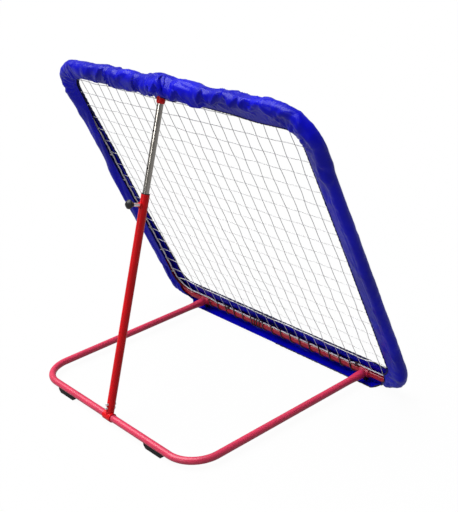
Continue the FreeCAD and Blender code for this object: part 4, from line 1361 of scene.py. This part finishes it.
# The picture's height in pixels, the sensor in mm, and where the camera stands and looks from
PHOTO_HIGH = 512
SENSOR = 36.0
CAMERA = {"azimuth": 229.96, "elevation": 22.74, "roll": -3.38, "focal_pixels": 968.69,
          "spot": (-2.1522, 1.6643, 1.5582)}


class REBOUNDER_OT_stage(bpy.types.Operator):
    """Sets the floor, the lamps, the surroundings and the camera"""

    bl_idname = "rebounder.stage"
    bl_label = "Set the stage"

    def execute(self, context):
        scene = context.scene
        scene.view_settings.view_transform = "Standard"
        set_camera(scene)
        set_lamps()
        set_floor()
        set_world(scene)
        return {"FINISHED"}


def set_camera(scene):
    data = bpy.data.cameras.new("Camera")
    camera = bpy.data.objects.new("Camera", data)
    scene.collection.objects.link(camera)
    azimuth, elevation, roll = (
        math.radians(CAMERA[word]) for word in ("azimuth", "elevation", "roll"))
    back = Vector((math.sin(azimuth) * math.cos(elevation),
                   -math.cos(azimuth) * math.cos(elevation), math.sin(elevation)))
    right = Vector((0, 0, 1)).cross(back).normalized()
    up = back.cross(right)
    level_right = right * math.cos(roll) + up * math.sin(roll)
    level_up = up * math.cos(roll) - right * math.sin(roll)
    camera.matrix_world = placed(Vector(CAMERA["spot"]), level_up, back, level_right)
    data.sensor_width = SENSOR
    data.lens = CAMERA["focal_pixels"] * SENSOR / PHOTO_HIGH
    data.clip_end = 60.0
    scene.camera = camera


def set_lamps():
    """Two suns: name, strength, the way the light goes, and how wide the source looks."""
    for name, energy, aim, wide in (("Overhead", 3.7, (-0.38, -0.22, -0.95), 56),
                                    ("Rear glint", 0.30, (0.10, -0.99, -0.30), 10)):
        data = bpy.data.lights.new(name, "SUN")
        data.energy = energy
        data.angle = math.radians(wide)
        lamp = bpy.data.objects.new(name, data)
        bpy.context.scene.collection.objects.link(lamp)
        lamp.location.z = 3.0
        lamp.rotation_mode = "QUATERNION"
        lamp.rotation_quaternion = Vector(aim).to_track_quat("-Z", "Y")


def set_floor():
    bm = bmesh.new()
    bmesh.ops.create_grid(bm, x_segments=8, y_segments=8, size=14.0)
    finish = Finish("Floor")
    finish.done(Base_Color=(0.25, 0.25, 0.25), Roughness=0.9)
    glow = finish.node("ShaderNodeEmission", {}, {"Color": (1.0, 1.0, 1.0), "Strength": 1.09})
    output = finish.tree.nodes["Material Output"]
    plain = Flow(finish, finish.shader.outputs[0])
    mixed = finish.node("ShaderNodeMixShader", {}, {0: finish.seen() * 0.88, 1: plain, 2: glow})
    finish.feed(output.inputs["Surface"], mixed)
    floor = finished(bm, "floor", finish.material, smooth=False, outward=False)
    floor.location.z = -0.0004
    floor.data.transform(floor.matrix_basis)
    floor.matrix_basis = Matrix.Identity(4)


class Sky(Finish):
    """The world, made with the same node method as a material."""

    def __init__(self, name):
        self.material = bpy.data.worlds.new(name)
        self.material.use_nodes = True
        self.tree = self.material.node_tree
        self.shader = self.tree.nodes["Background"]


def set_world(scene):
    """White to the camera, and a plain low level to what it lights."""
    sky = Sky("Studio")
    scene.world = sky.done(Color=(1.0, 1.0, 1.0), Strength=sky.seen().ramp(0.0, 1.0, 0.15, 1.0))


class REBOUNDER_PT_panel(bpy.types.Panel):
    """Shows the rebounder's settings and a button for each step"""

    bl_label = "Rebounder"
    bl_idname = "REBOUNDER_PT_panel"
    bl_space_type = "VIEW_3D"
    bl_region_type = "UI"
    bl_category = "Rebounder"

    def draw(self, context):
        scene = context.scene
        for name in SETTINGS:
            group = getattr(scene, name)
            box = self.layout.box()
            for word in group.bl_rna.properties.keys():
                if word not in ("rna_type", "name"):
                    box.prop(group, word)
        for operator in STEPS:
            self.layout.operator(operator.bl_idname)


SETTINGS = {"rebounder_tubes": TubeSettings, "rebounder_net": NetSettings,
            "rebounder_lacing": LacingSettings, "rebounder_cover": CoverSettings}
STEPS = (REBOUNDER_OT_paint, REBOUNDER_OT_plate, REBOUNDER_OT_mould, REBOUNDER_OT_weld,
         REBOUNDER_OT_net, REBOUNDER_OT_lacing, REBOUNDER_OT_cover, REBOUNDER_OT_stage)


def register():
    for group in (*SETTINGS.values(), *STEPS, REBOUNDER_PT_panel):
        bpy.utils.register_class(group)
    for name, group in SETTINGS.items():
        setattr(bpy.types.Scene, name, PointerProperty(type=group))


def unregister():
    for name in SETTINGS:
        delattr(bpy.types.Scene, name)
    for group in reversed((*SETTINGS.values(), *STEPS, REBOUNDER_PT_panel)):
        bpy.utils.unregister_class(group)


def main():
    register()
    for step in STEPS:
        family, name = step.bl_idname.split(".")
        getattr(getattr(bpy.ops, family), name)()


if __name__ == "__main__":
    main()
